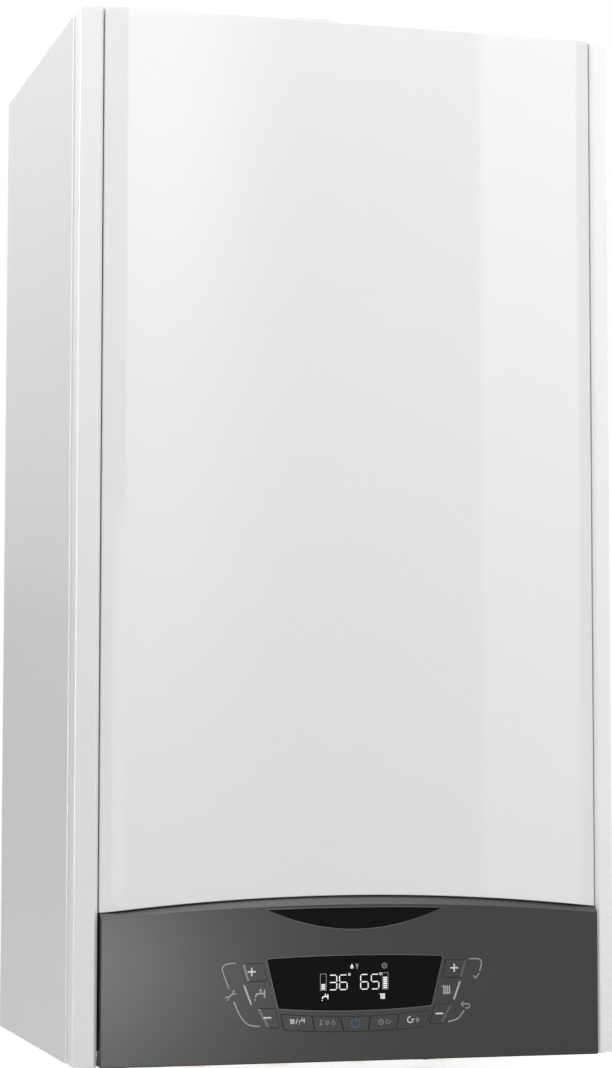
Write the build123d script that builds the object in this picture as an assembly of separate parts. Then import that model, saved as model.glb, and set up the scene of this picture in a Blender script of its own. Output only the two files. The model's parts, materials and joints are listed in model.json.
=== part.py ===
"""Wall-hung condensing combi boiler: casing, swing-down control panel, burner, pump and water side.

Millimetres. X runs to the right, Y from the front of the boiler to the wall, Z up.
The origin is on the wall, at the middle of the bolt line of the wall bracket.
"""

import math
import os

from build123d import *

# ---------------------------------------------------------------- casing
CASE_WIDTH = 400.0
CASE_HEIGHT = 745.0
CASE_DEPTH = 319.0  # from the wall to the front of the control fascia
TOP = 45.0  # top of the casing above the bolt line
BOTTOM = TOP - CASE_HEIGHT
HALF = CASE_WIDTH / 2
SHEET = 1.2
SIDE_SHEET = 1.0

WALL_GAP = 14.0  # space behind the back sheet, for the wall bracket
BACK_Y = -WALL_GAP  # rear face of the back sheet
BACK_FRONT = BACK_Y - SHEET
PANEL_SETBACK = 2.5
RIDGE_SETBACK = 4.5
FASCIA_Y = -CASE_DEPTH  # front face of the control fascia
PANEL_Y = FASCIA_Y + PANEL_SETBACK  # front face of the white panel

# ---------------------------------------------------------------- corner trims
TRIM_WALL = 1.8
TRIM_WIDTH = 15.8
TRIM_CHAMFER = 13.2  # width of the slanted face
TRIM_CHAMFER_DEPTH = 8.5
TRIM_SIDE = 26.0  # depth of the face in line with the side panel
TRIM_FLANK = 2.4  # depth of the small bevel from the ridge to the gap
TRIM_LIP = 20.5
TRIM_CAP = 1.5
TRIM_CORNER_R = 1.6
TRIM_RIDGE_R = 1.2
TRIM_JOINT_R = 0.7
TRIM_RETURN = 11.0
TRIM_INNER = HALF - TRIM_WIDTH  # the trim's wall beside the front panel
TRIM_RIDGE = HALF - TRIM_CHAMFER
RIDGE_Y = FASCIA_Y + RIDGE_SETBACK
CORNER_Y = RIDGE_Y + TRIM_CHAMFER_DEPTH
SIDE_FRONT = CORNER_Y + TRIM_SIDE  # where a side panel ends and its corner trim begins

# ---------------------------------------------------------------- wall bracket
BRACKET_WALL = 2.5
BRACKET_HALF = 140.0
BRACKET_LOW = -28.0
HOOK_Z = 18.0  # the ledge that carries the boiler
HOOK_REACH = 21.0
HOOK_LIP = 14.0
HOOK_X = 70.0
HOOK_WIDTH = 40.0
BOLT_SPACING = 240.0
BOLT_HOLE_R = 5.0
SLOT_WIDTH = 44.0
SLOT_HEIGHT = 26.0
LOWER_SPACING = 300.0
LOWER_HOLE_R = 4.0
LOWER_Z = BOTTOM + 60.0

# ---------------------------------------------------------------- front panel
PANEL_SIDE_GAP = 1.4
PANEL_HALF = TRIM_INNER - PANEL_SIDE_GAP
PANEL_SHEET = 1.0
PANEL_DEPTH = 16.5
PANEL_REST_GAP = 0.6  # from the panel's rear edge to the frame behind it
PANEL_REST_Y = PANEL_Y + PANEL_DEPTH + PANEL_REST_GAP
EDGE_WIDTH = 17.0  # width of the rolled side edge
EDGE_DROP = 3.8  # how far that edge curls back
TOP_EDGE_R = 0.9
PANEL_CORNER_R = 2.0  # where a rolled edge meets the panel's side return
CONTROL_HEIGHT = 116.0  # from the base to the apex of the arch
ARCH_APEX = BOTTOM + CONTROL_HEIGHT
ARCH_RISE = 10.3
PIN_INSET = 32.8
PIN_X = PANEL_HALF - PIN_INSET
PIN_R = 3.0
PIN_HOLE_R = 3.3
PIN_REACH = 7.0
PIN_TOP_Z = TOP - 8.0

# ---------------------------------------------------------------- control panel
FASCIA_SIDE_GAP = 1.6
FASCIA_HALF = TRIM_INNER - FASCIA_SIDE_GAP
FASCIA_GAP = 1.3
FASCIA_WALL = 2.6
FASCIA_DEPTH = 21.0
FASCIA_BACK = FASCIA_Y + FASCIA_WALL  # rear of its front wall
SHOULDER_DEPTH = 4.4  # how far back the sloping shoulder meets the gap
SHOULDER_DROP = 5.0
SHOULDER_RISE = 8.0
CAVITY_DROP = 7.5  # from the fascia's top edge to its hollow
PIVOT_Y = FASCIA_Y + 15.0
PIVOT_Z = BOTTOM + 8.0
PIVOT_R = 3.0
PIVOT_SLACK = 0.08
PIVOT_BOSS_R = 7.4
PIVOT_BOSS = 9.2
PIVOT_REACH = 9.2  # length of the pin inside the casing's trim
PIVOT_COLLAR_R = 5.4
PIVOT_COLLAR = 1.0

BADGE_HALF = 64.0
BADGE_TOP = 2.3  # strip of fascia above the badge
BADGE_HEIGHT = 14.8
BADGE_PROUD = 0.3
BADGE_RECESS = 1.0
INLAY_GAP = 0.15
TIP_GROWTH = 5.0  # how many times the gap a sharp tip moves out by

LENS_TOP_HALF = 64.5
LENS_BOTTOM_HALF = 56.0
LENS_TOP_Z = BOTTOM + 72.0
LENS_BOTTOM_Z = BOTTOM + 38.2
LENS_TOP_BOW = 1.6
LENS_BOTTOM_BOW = 2.4
LENS_GAP = 0.15
LENS_FLANGE = 1.2
LENS_FLANGE_T = 1.0

KEY_GAP = 0.35
KEY_PROUD = 0.6
KEY_DEPTH = 6.0
KEY_TRAVEL = 1.2
KEY_FLANGE = 1.2  # how far a key's flange stands out above and below it
KEY_FLANGE_T = 1.0
KEY_FLANGE_GAP = 0.3
ROW_GAP = 0.6  # half of the space between two keys of the lower row
# corner points: distance from the middle, and height above the base
PLUS_KEY = ((67.0, 70.1), (83.6, 69.7), (79.8, 56.6), (64.0, 57.0))
MINUS_KEY = ((58.6, 38.7), (73.0, 38.7), (65.4, 24.8), (54.4, 24.1))
ROW_TOP = ((11.3, 31.6), (32.0, 32.5), (55.4, 34.4))
ROW_BOTTOM = ((8.7, 20.4), (29.6, 21.0), (52.4, 22.8))

BOX_SIDE_GAP = 10.6
BOX_HALF = FASCIA_HALF - BOX_SIDE_GAP
BOX_WALL = 2.0
BOX_BOTTOM = BOTTOM + 3.0
BOX_BACK_Y = PIVOT_Y + 66.0
BOX_BACK_TOP = BOTTOM + 60.0
BOX_KNEE = (PIVOT_Y + 36.0, BOTTOM + 82.0)
BOX_FRONT_TOP = BOTTOM + 88.0
VENT_SLOTS = 9
VENT_PITCH = 20.0
VENT_SLOT = (8.0, 12.0)
BOARD_Y = FASCIA_Y + 19.0
BOARD_T = 1.6
BOARD_HALF = BOX_HALF - BOX_WALL
BOARD_Z = (BOTTOM + 8.0, BOTTOM + 80.0)
SWITCH_HALF = 3.0
SWITCH_GAP = 0.5  # left behind a key that is pressed right in
SCREEN_HALF = 48.0
SCREEN_Z = (BOTTOM + 40.0, BOTTOM + 69.0)
# parts on the rear of the board: x from, x to, height above the board, and z from and to above the base
BOARD_PARTS = (
    (-140.0, -96.0, 34.0, 12.0, 50.0),
    (92.0, 142.0, 14.0, 12.0, 24.0),
    (-79.0, -61.0, 16.0, 16.0, 40.0),
    (-53.0, -35.0, 16.0, 16.0, 40.0),
    (-27.0, -9.0, 16.0, 16.0, 40.0),
    (-1.0, 17.0, 16.0, 16.0, 40.0),
)
CAPACITORS = (60.0, 76.0)
CAPACITOR_R = 6.0
CAPACITOR_HEIGHT = 22.0

# ---------------------------------------------------------------- flue and top
FLUE_X = 0.0
FLUE_Y = -165.0
FLUE_SOCKET_R = 30.2
FLUE_TUBE_R = 32.0
AIR_SOCKET_R = 50.3
AIR_TUBE_R = 53.0
AIR_LEDGE = 3.0
FLUE_HOLE_R = AIR_SOCKET_R + 1.2
COLLAR_TOP = TOP + 29.0
COLLAR_FLOOR = TOP + 5.0
COLLAR_LOW = TOP - 25.0
WEB_HEIGHT = 10.0
WEB_WIDTH = 2.4
FLANGE_T = 3.4
FLANGE_SIZE = (142.0, 122.0)
FLANGE_CORNER_R = 12.0
FLANGE_SCREW = (62.0, 52.0)
SAMPLE_R = 6.5
SAMPLE_X = 63.0
SAMPLE_HEIGHT = 9.0
INTAKE_R = 40.0
INTAKE_CAP_R = INTAKE_R + 4.0
INTAKE_GAP = 13.0  # between a cap and the flange of the flue collar
INTAKE_X = FLUE_X + FLANGE_SIZE[0] / 2 + INTAKE_GAP + INTAKE_CAP_R
INTAKE_LIP = 2.5
INTAKE_GRIP = 48.0
INTAKE_GRIP_RISE = 6.5
TOP_LIP = 14.0

SCREW_R = 2.4
SCREW_HOLE_R = 2.7
SCREW_HEAD_R = 4.6
SCREW_HEAD = 3.5
SCREW_SHANK = 7.0

# ---------------------------------------------------------------- expansion vessel
VESSEL_X = -10.0
VESSEL_Z = TOP - 250.0
VESSEL_R = 158.0
VESSEL_SEAM = 4.0
VESSEL_SEAM_R = VESSEL_R + VESSEL_SEAM
VESSEL_DEPTH = 82.8
VESSEL_FRONT_Y = BACK_FRONT - VESSEL_DEPTH
VESSEL_CORNER = 22.0
VESSEL_WALL = 2.0
VESSEL_NECK_R = 8.0

# ---------------------------------------------------------------- burner and heat exchanger
EX_X = -45.0
EX_Z = TOP - 195.0
EX_R = 98.0
EX_WALL = 6.0
EX_LENGTH = 114.0
EX_BACK_Y = VESSEL_FRONT_Y - 10.0
EX_FLANGE_Y = EX_BACK_Y - EX_LENGTH
EX_FLANGE_R = EX_R + 10.0
EX_FLANGE_T = 6.0
EX_RIBS = 5
EX_RIB = 4.0
EX_RIB_PITCH = 18.0
DOOR_T = 8.0
DOOR_FACE_Y = EX_FLANGE_Y - DOOR_T
DOOR_SCREW_R = EX_R + 3.0
DOOR_SCREW_ANGLES = (60, 132, 204, 276, 348)
CHANNEL_HALF = 30.0
CHANNEL_T = 32.0
CHANNEL_WALL = 3.0
BURNER_R = 34.0
BURNER_WALL = 1.5
BURNER_LENGTH = 86.0
BURNER_BACK_Y = EX_FLANGE_Y + BURNER_LENGTH
COIL_GAP = 6.0
COIL_WIDTH = 30.0
COIL_OUTER = EX_R - EX_WALL - COIL_GAP
COIL_R = (COIL_OUTER - COIL_WIDTH, COIL_OUTER)
COIL_CORE = 3.0
COIL_Y = (EX_FLANGE_Y + 16.0, EX_BACK_Y - EX_WALL)
COIL_SHARE = 0.8  # share of the pitch that a turn fills
COIL_TURNS = 9
ELECTRODE_R = 4.0
ELECTRODE_ORBIT = 45.0
ELECTRODE_SLACK = 0.1
ELECTRODE_ANGLES = (232, 308)
PORT_OFFSET = 55.0
PORT_Y = (EX_FLANGE_Y + EX_BACK_Y) / 2
PORT_R = 12.0
PORT_WALL = 3.0
PORT_END_Z = EX_Z - EX_R - 2.0
DRAIN_END_Z = PORT_END_Z - 12.0
LUG_HALF = 30.0
OUTLET_RISE = 22.0
OUTLET_SEAT = 4.0

# ---------------------------------------------------------------- fan, gas valve, air intake
FAN_X = 130.0
FAN_Z = TOP - 200.0
FAN_R = 58.0
FAN_WALL = 3.0
FAN_DEPTH = 44.0
FAN_FRONT_Y = EX_FLANGE_Y + EX_FLANGE_T
FAN_REAR_Y = FAN_FRONT_Y + FAN_DEPTH
FAN_INLET_R = 24.0
SPOUT_X = (FAN_X - 66.0, FAN_X - 26.0)
SPOUT_Z = (FAN_Z + 21.0, FAN_Z + FAN_R)
CHANNEL_END = (sum(SPOUT_X) / 2, sum(SPOUT_Z) / 2)
IMPELLER_R = FAN_R - 8.0
IMPELLER_Y = (FAN_FRONT_Y + 8.0, FAN_REAR_Y - 12.0)
IMPELLER_BLADES = 18
SHAFT_R = 4.0
SHAFT_SLACK = 0.05
MOTOR_R = 28.0
MOTOR_FRONT_Y = FAN_FRONT_Y - 42.0
VALVE_Y = FAN_REAR_Y - 10.0
VALVE_Z = (FAN_Z - 175.0, FAN_Z - 107.0)
VALVE_HALF = (26.0, 30.0)
VALVE_COIL_R = 13.0
SILENCER_Y = (VESSEL_FRONT_Y - 42.0, VESSEL_FRONT_Y - 6.0)
SILENCER_X = (FAN_X - 46.0, FAN_X + 46.0)
SILENCER_Z = (FAN_Z - 50.0, TOP - 35.0)
SILENCER_WALL = 2.0
SILENCER_CORNER = 10.0
COLLAR_R = 28.0
NOZZLE_Y = (FAN_REAR_Y + SILENCER_Y[0]) / 2
NOZZLE_R = 8.0

# ---------------------------------------------------------------- water side
STUB_Y = -110.0
STUB_MARGIN = 70.0  # from the outer pipe end to the side of the casing
STUB_PITCH = (HALF - STUB_MARGIN) / 2
STUB_R = 13.2  # three-quarter inch male thread, outside
STUB_SMALL_R = 10.5  # half inch male thread, outside
STUB_WALL = 3.5
STUB_LOW = BOTTOM - 22.0
STUB_THREAD = 14.0
STUB_NUT = 6.0
STUB_TOP = BOTTOM + 10.0
BLOCK_HALF = 30.0
BLOCK_HEIGHT = 100.0
BLOCK_X = (STUB_PITCH - 17.0, 2 * STUB_PITCH + 20.0)
BLOCK_Y = (STUB_Y - BLOCK_HALF, STUB_Y + BLOCK_HALF)
BLOCK_Z = (STUB_TOP, STUB_TOP + BLOCK_HEIGHT)
BLOCK_CORNER = 8.0
PLATE_HALF = 96.0
PLATE_GAP = 2.0
PLATE_DEPTH = 40.0
PLATE_Y = (BLOCK_Y[1] + PLATE_GAP, BLOCK_Y[1] + PLATE_GAP + PLATE_DEPTH)
PLATE_Z = (STUB_TOP + 35.0, STUB_TOP + 109.0)
PLATE_COUNT = 12
PLATE_CORNER = 14.0
PLATE_STEP = 3.0
PLATE_PORT_X = BLOCK_X[0] + 28.0
PLATE_PORT_Z = (STUB_TOP + 50.0, STUB_TOP + 88.0)
PLATE_PORT_R = 10.0
PUMP_X = BLOCK_X[1] - 40.0
PUMP_R = 46.0
PUMP_Z = BLOCK_Z[1] + PUMP_R - 4.0
PUMP_Y = (BLOCK_Y[0] - 10.0, BLOCK_Y[0] + 36.0)
PUMP_CAVITY_R = PUMP_R - 10.0
PUMP_PORT_Y = PUMP_Y[0] + 22.0
PUMP_PORT_TOP = PUMP_Z + PUMP_R + 12.0
PUMP_MOTOR_R = 44.0
PUMP_MOTOR_LENGTH = 85.0
PUMP_MOTOR_FRONT = PUMP_Y[0] - PUMP_MOTOR_LENGTH
PUMP_WHEEL_R = PUMP_CAVITY_R - 5.0
PUMP_SHAFT_R = 3.0
PUMP_VANES = 7
VENT_X = BLOCK_X[1] - 15.0
VENT_Y = BLOCK_Y[1] - 11.0
VENT_R = 11.0
VENT_NECK = 10.0
VENT_HEIGHT = 40.0
DIVERTER_X = -2 * STUB_PITCH
DIVERTER_R = 20.0
DIVERTER_TOP = BLOCK_Z[1] + 40.0
DIVERTER_BORE = 15.0
DIVERTER_FLOOR = STUB_TOP + 15.0
DIVERTER_LID = 5.0
DIVERTER_MOTOR = (28.0, 30.0, 55.0)
STEM_R = 4.0
STEM_SLACK = 0.08
STEM_Z = (STUB_TOP + 40.0, DIVERTER_TOP + 30.0)
STEM_DISC_R = DIVERTER_BORE - 2.0
STEM_DISC_Z = (STUB_TOP + 50.0, STUB_TOP + 58.0)
STEM_TRAVEL = 6.0
RELIEF_Z = STUB_TOP + 70.0
RELIEF_R = 14.0
RELIEF_END_X = -BLOCK_X[1] - 22.0
RELIEF_OUTLET_X = -BLOCK_X[1] - 11.0
RELIEF_OUTLET_R = 7.5
RELIEF_OUTLET_Z = BOTTOM - 15.0
RELIEF_OUTLET_WALL = 1.8
RELIEF_SPINDLE_R = 3.0
RELIEF_KNOB_R = 16.0
RELIEF_KNOB_END = RELIEF_END_X - 18.0
RELIEF_KNOB_FLUTES = 8
TURBINE_BORE = 8.2
TURBINE_Z = (STUB_TOP + 14.0, STUB_TOP + 26.0)
TURBINE_ROOF = STUB_TOP + 42.0
TURBINE_PIN_R = 1.2
TURBINE_PIN_LENGTH = 8.0
TURBINE_BLADES = 5
OUTLET_BORE_R = 7.5
INLET_BORE_R = 9.0
INLET_BORE = 60.0
FILL_X = 1.5 * STUB_PITCH
FILL_Y = STUB_Y - 55.0
FILL_R = 8.0
FILL_LOW = BOTTOM - 4.0
FILL_SPINDLE_R = 3.0
FILL_SPINDLE_TOP = STUB_TOP + 12.0
FILL_KNOB_R = 15.0
FILL_KNOB_Z = (BOTTOM - 16.0, BOTTOM - 4.5)
FILL_KNOB_FLUTES = 10
GAUGE_X = -FILL_X
GAUGE_Y = FILL_Y
GAUGE_R = 20.0
GAUGE_FLANGE_R = GAUGE_R + 3.0
GAUGE_FLANGE = 3.0
GAUGE_DEPTH = 28.0
GAUGE_DIAL_Z = BOTTOM + 3.5
GAUGE_PIN_R = 1.0
NEEDLE_Z = (BOTTOM + 0.4, BOTTOM + 1.1)
NEEDLE_REST = 145.0  # zero is at the lower left for a reader who looks up at the dial
TRAP_X = -HALF + 50.0
TRAP_Y = -205.0
TRAP_R = 28.0
TRAP_Z = (BOTTOM + 230.0, BOTTOM + 330.0)
DRAIN_R = 10.75  # of the end that a drain pipe goes over
DRAIN_WALL = 1.8
DRAIN_LOW = BOTTOM - 12.0
SPIGOT_TOP = BOTTOM - 1.0  # where the thicker ends below the base stop
SPIGOT_STEP = 0.6
HOSE_R = 8.0
HOSE_WALL = 1.5
HOSE_BEND = 11.0
GLAND_X = HALF - 35.0
GLAND_Y = (-55.0, -90.0)
GLAND_BORE = 5.0
GLAND_R = 9.0
GLAND_FLANGE = 2.5
GLAND_RISE = 8.0
PIPE_R = 9.0
PIPE_WALL = 1.0
GAS_BEND = 24.0
WATER_BEND = 22.0
HOLE_SLACK = 0.5  # radial gap where a pipe passes through a casing sheet

# ---------------------------------------------------------------- frame rails and base
RAIL_OUT = HALF - SIDE_SHEET
RAIL_FLANGE = 17.4
CROSS_Z = (ARCH_APEX + 6.0, ARCH_APEX + 21.0)
CROSS_DEPTH = 13.4
HANGER_HALF = 40.0
HANGER_Z = EX_Z + EX_R + 14.0  # underside of the shelf that carries the heat exchanger
HANGER_Y = EX_BACK_Y - 16.0
SHELF_HALF = 150.0
SHELF_Y = BLOCK_Y[1] - 12.0
BRACE = 16.0
BOTTOM_FRONT_Y = BOX_BACK_Y + 12.0
BOTTOM_SHEET = 1.5
BOTTOM_LIP = 12.0


# ---------------------------------------------------------------- shared shapes
def block(x_span, y_span, z_span):
    """Box between pairs of limits."""
    spans = (x_span, y_span, z_span)
    centre = [(low + high) / 2 for low, high in spans]
    size = [abs(high - low) for low, high in spans]
    return Pos(*centre) * Box(*size)


def rod(start, end, radius, bore=0.0):
    """Round bar, or a tube if it has a bore, between two points."""
    start, end = Vector(*start), Vector(*end)
    section = Circle(radius) - Circle(bore) if bore else Circle(radius)
    return extrude(Plane(origin=start, z_dir=end - start) * section, (end - start).length)


def pipe(points, bend, radius, wall=PIPE_WALL):
    """Bent tube along straight runs joined by arcs."""
    path = FilletPolyline(*points, radius=bend)
    section = Plane(origin=path @ 0, z_dir=path % 0) * (Circle(radius) - Circle(radius - wall))
    return sweep(section, path=path)


def folded(path, wall):
    """Face of a folded sheet: a run of points, and the same run set over to its left by the wall."""
    points = [Vector(*p) for p in path]
    over = []
    for i, point in enumerate(points):
        runs = []
        if i > 0:
            runs.append((point - points[i - 1]).normalized())
        if i < len(points) - 1:
            runs.append((points[i + 1] - point).normalized())
        normals = [Vector(-run.Y, run.X) for run in runs]
        total = sum(normals[1:], normals[0])
        over.append(point + total * (wall / total.dot(normals[0])))
    return make_face(Polyline(*points, *reversed(over), close=True))


def polygon(points):
    return make_face(Polyline(*points, close=True))


def rounded(face, spots):
    """Rounds the corners of a face that lie nearest to the given points."""
    for point, radius in spots:
        corner = face.vertices().sort_by_distance(Vector(*point))[0]
        face = fillet(corner, radius)
    return face


def upright(face, z_span):
    """Extrudes a face drawn in plan between two heights."""
    return Pos(0, 0, z_span[0]) * extrude(face, z_span[1] - z_span[0])


def across(face, x_span):
    """Extrudes a face drawn as (y, z) between two places along X."""
    start = Plane(origin=(x_span[0], 0, 0), x_dir=(0, 1, 0), z_dir=(1, 0, 0))
    return extrude(start * face, x_span[1] - x_span[0])


def facing(face, y_span):
    """Extrudes a face drawn as (x, z) from its front, the lower y, to its rear."""
    front, rear = y_span
    plane = Plane(origin=(0, rear, 0), x_dir=(1, 0, 0), z_dir=(0, -1, 0))
    return extrude(plane * face, rear - front)


def left_of(shape):
    return mirror(shape, about=Plane.YZ)


def both_sides(shape):
    return Compound([shape, left_of(shape)])


def hex_screw(seat, outward, shank=SCREW_SHANK):
    """Hexagon-head screw whose head stands on a seat."""
    seat, outward = Vector(*seat), Vector(*outward).normalized()
    head = extrude(Plane(origin=seat, z_dir=outward) * RegularPolygon(SCREW_HEAD_R, 6), SCREW_HEAD)
    return head + rod(seat, seat - outward * shank, SCREW_R)


def arc_circle(apex, half, rise):
    """Radius and centre height of the circle through an arch's apex and its ends."""
    radius = (half**2 + rise**2) / (2 * rise)
    return radius, apex - radius


ARCH_R, ARCH_CENTRE = arc_circle(ARCH_APEX, PANEL_HALF, ARCH_RISE)


def flue_screw_spots():
    dx, dy = FLANGE_SCREW
    return [(FLUE_X + sx * dx, FLUE_Y + sy * dy) for sx in (-1, 1) for sy in (-1, 1)]


def around_exchanger(radius, angle):
    turn = math.radians(angle)
    return EX_X + radius * math.cos(turn), EX_Z + radius * math.sin(turn)


# ---------------------------------------------------------------- wall fixing and frame
def wall_bracket():
    plate = block((-BRACKET_HALF, BRACKET_HALF), (-BRACKET_WALL, 0), (BRACKET_LOW, HOOK_Z))
    # the top of the ledge is HOOK_Z, and the lip rises in front of the back sheet
    ledge = block((0, HOOK_WIDTH), (-HOOK_REACH, 0), (HOOK_Z - BRACKET_WALL, HOOK_Z))
    z_span = (HOOK_Z - BRACKET_WALL, HOOK_Z + HOOK_LIP)
    lip = block((0, HOOK_WIDTH), (-HOOK_REACH, BRACKET_WALL - HOOK_REACH), z_span)
    hook = ledge + lip
    for x in (-HOOK_X, HOOK_X):
        plate += Pos(x - HOOK_WIDTH / 2, 0, 0) * hook
    for x in (-BOLT_SPACING / 2, BOLT_SPACING / 2):
        plate -= rod((x, -BRACKET_WALL, 0), (x, 0, 0), BOLT_HOLE_R)
    return plate


def back_sheet():
    sheet = block((-RAIL_OUT, RAIL_OUT), (BACK_FRONT, BACK_Y), (BOTTOM, TOP - SHEET))
    for x in (-HOOK_X, HOOK_X):
        sheet -= block(
            (x - SLOT_WIDTH / 2, x + SLOT_WIDTH / 2), (BACK_FRONT, BACK_Y), (HOOK_Z - SLOT_HEIGHT, HOOK_Z)
        )
    for x in (-LOWER_SPACING / 2, LOWER_SPACING / 2):
        sheet -= rod((x, BACK_FRONT, LOWER_Z), (x, BACK_Y, LOWER_Z), LOWER_HOLE_R)
    return sheet


def frame_rails():
    inner = RAIL_OUT - RAIL_FLANGE
    section = folded([(inner, BACK_Y), (RAIL_OUT, BACK_Y), (RAIL_OUT, 0), (inner, 0)], SHEET)
    rail = upright(section, (BOTTOM, TOP - SHEET))
    low, high = CROSS_Z
    front, rear = PANEL_REST_Y, PANEL_REST_Y + CROSS_DEPTH
    channel = folded([(rear, low), (front, low), (front, high), (rear, high)][::-1], SHEET)
    cross = across(channel, (-TRIM_INNER, TRIM_INNER))
    for x in (-PIN_X, PIN_X):
        middle = (low + high) / 2
        cross -= rod((x, front - 1, middle), (x, front + SHEET + 1, middle), PIN_HOLE_R)
    hanger = folded([(HANGER_Y, HANGER_Z), (BACK_FRONT, HANGER_Z), (BACK_FRONT, HANGER_Z + BRACE)], SHEET)
    shelf = folded([(BACK_FRONT, BOTTOM + BOTTOM_SHEET), (BACK_FRONT, STUB_TOP), (SHELF_Y, STUB_TOP)], SHEET)
    hanger = Pos(EX_X, 0, 0) * across(hanger, (-HANGER_HALF, HANGER_HALF))
    return Compound([rail, left_of(rail), cross, hanger, across(shelf, (-SHELF_HALF, SHELF_HALF))])


# ---------------------------------------------------------------- casing sheets
def right_side_panel():
    inner = HALF - TRIM_RETURN
    section = folded([(inner, SIDE_FRONT), (HALF, SIDE_FRONT), (HALF, 0)], SIDE_SHEET)
    section = rounded(section, [((HALF, SIDE_FRONT), TRIM_JOINT_R)])
    return upright(section, (BOTTOM, TOP))


def trim_path():
    return [
        (TRIM_INNER, RIDGE_Y + TRIM_LIP),
        (TRIM_INNER, RIDGE_Y + TRIM_FLANK),
        (TRIM_RIDGE, RIDGE_Y),
        (HALF, CORNER_Y),
        (HALF, SIDE_FRONT),
        (HALF - TRIM_RETURN, SIDE_FRONT),
    ]


def right_corner_trim():
    path = trim_path()
    corner, ridge = (HALF, CORNER_Y), (TRIM_RIDGE, RIDGE_Y)
    spots = [(corner, TRIM_CORNER_R), (ridge, TRIM_RIDGE_R), (path[4], TRIM_JOINT_R)]
    wall = rounded(folded(path, TRIM_WALL), spots)
    cap = rounded(polygon(path), spots)
    trim = upright(wall, (BOTTOM, TOP))
    trim += upright(cap, (BOTTOM, BOTTOM + TRIM_CAP)) + upright(cap, (TOP - TRIM_CAP, TOP))
    hole = rod((TRIM_INNER - 1, PIVOT_Y, PIVOT_Z), (TRIM_INNER + TRIM_WALL + 1, PIVOT_Y, PIVOT_Z), PIVOT_R)
    return trim - hole


def top_panel():
    wide = HALF - SIDE_SHEET
    narrow = TRIM_INNER
    shoulder = SIDE_FRONT + SIDE_SHEET
    z_sheet = (TOP - SHEET, TOP)
    panel = block((-wide, wide), (shoulder, 0), z_sheet)
    panel += block((-narrow, narrow), (PANEL_REST_Y, shoulder), z_sheet)
    panel += block((-narrow, narrow), (PANEL_REST_Y, PANEL_REST_Y + SHEET), (TOP - TOP_LIP, TOP))
    for side in (-1, 1):
        x_lip = sorted((side * wide, side * (wide - SHEET)))
        panel += block(x_lip, (shoulder, BACK_FRONT), (TOP - TOP_LIP, TOP))
        pin = (side * PIN_X, PANEL_REST_Y, PIN_TOP_Z)
        panel -= rod((pin[0], pin[1] - 1, pin[2]), (pin[0], pin[1] + SHEET + 1, pin[2]), PIN_HOLE_R)
        panel -= rod((side * INTAKE_X, FLUE_Y, TOP - SHEET), (side * INTAKE_X, FLUE_Y, TOP), INTAKE_R)
    panel -= rod((FLUE_X, FLUE_Y, TOP - SHEET), (FLUE_X, FLUE_Y, TOP), FLUE_HOLE_R)
    for x, y in flue_screw_spots():
        panel -= rod((x, y, TOP - SHEET), (x, y, TOP), SCREW_HOLE_R)
    return panel


def stub_places():
    """(x, outside radius) of the five pipe ends, from heating flow to heating return."""
    radii = (STUB_R, STUB_SMALL_R, STUB_R, STUB_SMALL_R, STUB_R)
    return [((i - 2) * STUB_PITCH, radius) for i, radius in enumerate(radii)]


def bottom_plate():
    wide = HALF - SIDE_SHEET
    plate = block((-wide, wide), (BOTTOM_FRONT_Y, BACK_FRONT), (BOTTOM, BOTTOM + BOTTOM_SHEET))
    lip_y = (BOTTOM_FRONT_Y, BOTTOM_FRONT_Y + BOTTOM_SHEET)
    plate += block((-wide, wide), lip_y, (BOTTOM, BOTTOM + BOTTOM_LIP))
    holes = [(x, STUB_Y, radius) for x, radius in stub_places()]
    holes += [(RELIEF_OUTLET_X, STUB_Y, RELIEF_OUTLET_R), (TRAP_X, TRAP_Y, DRAIN_R)]
    holes += [(GAUGE_X, GAUGE_Y, GAUGE_R), (FILL_X, FILL_Y, FILL_R)]
    holes += [(GLAND_X, y, GLAND_R) for y in GLAND_Y]
    for x, y, radius in holes:
        plate -= rod((x, y, BOTTOM), (x, y, BOTTOM + BOTTOM_SHEET), radius + HOLE_SLACK)
    return plate


# ---------------------------------------------------------------- front panel
def panel_plan(inset):
    """Plan outline of the front panel, with both side edges rolled back."""
    edge_r = (EDGE_WIDTH**2 + EDGE_DROP**2) / (2 * EDGE_DROP)
    centre_y = PANEL_Y + edge_r
    flat = PANEL_HALF - EDGE_WIDTH
    side, radius = PANEL_HALF - inset, edge_r - inset
    sweep_angle = math.asin((side - flat) / radius)
    mid, end = (
        (flat + radius * math.sin(turn), centre_y - radius * math.cos(turn))
        for turn in (sweep_angle / 2, sweep_angle)
    )
    rear = PANEL_Y + PANEL_DEPTH
    face_y = PANEL_Y + inset
    outline = Polyline((-end[0], end[1]), (-side, rear), (side, rear), end)
    outline += ThreePointArc(end, mid, (flat, face_y))
    outline += Line((flat, face_y), (-flat, face_y))
    outline += ThreePointArc((-flat, face_y), (-mid[0], mid[1]), (-end[0], end[1]))
    corners = [((-end[0], end[1]), PANEL_CORNER_R - inset), (end, PANEL_CORNER_R - inset)]
    return rounded(make_face(outline), corners)


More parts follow.
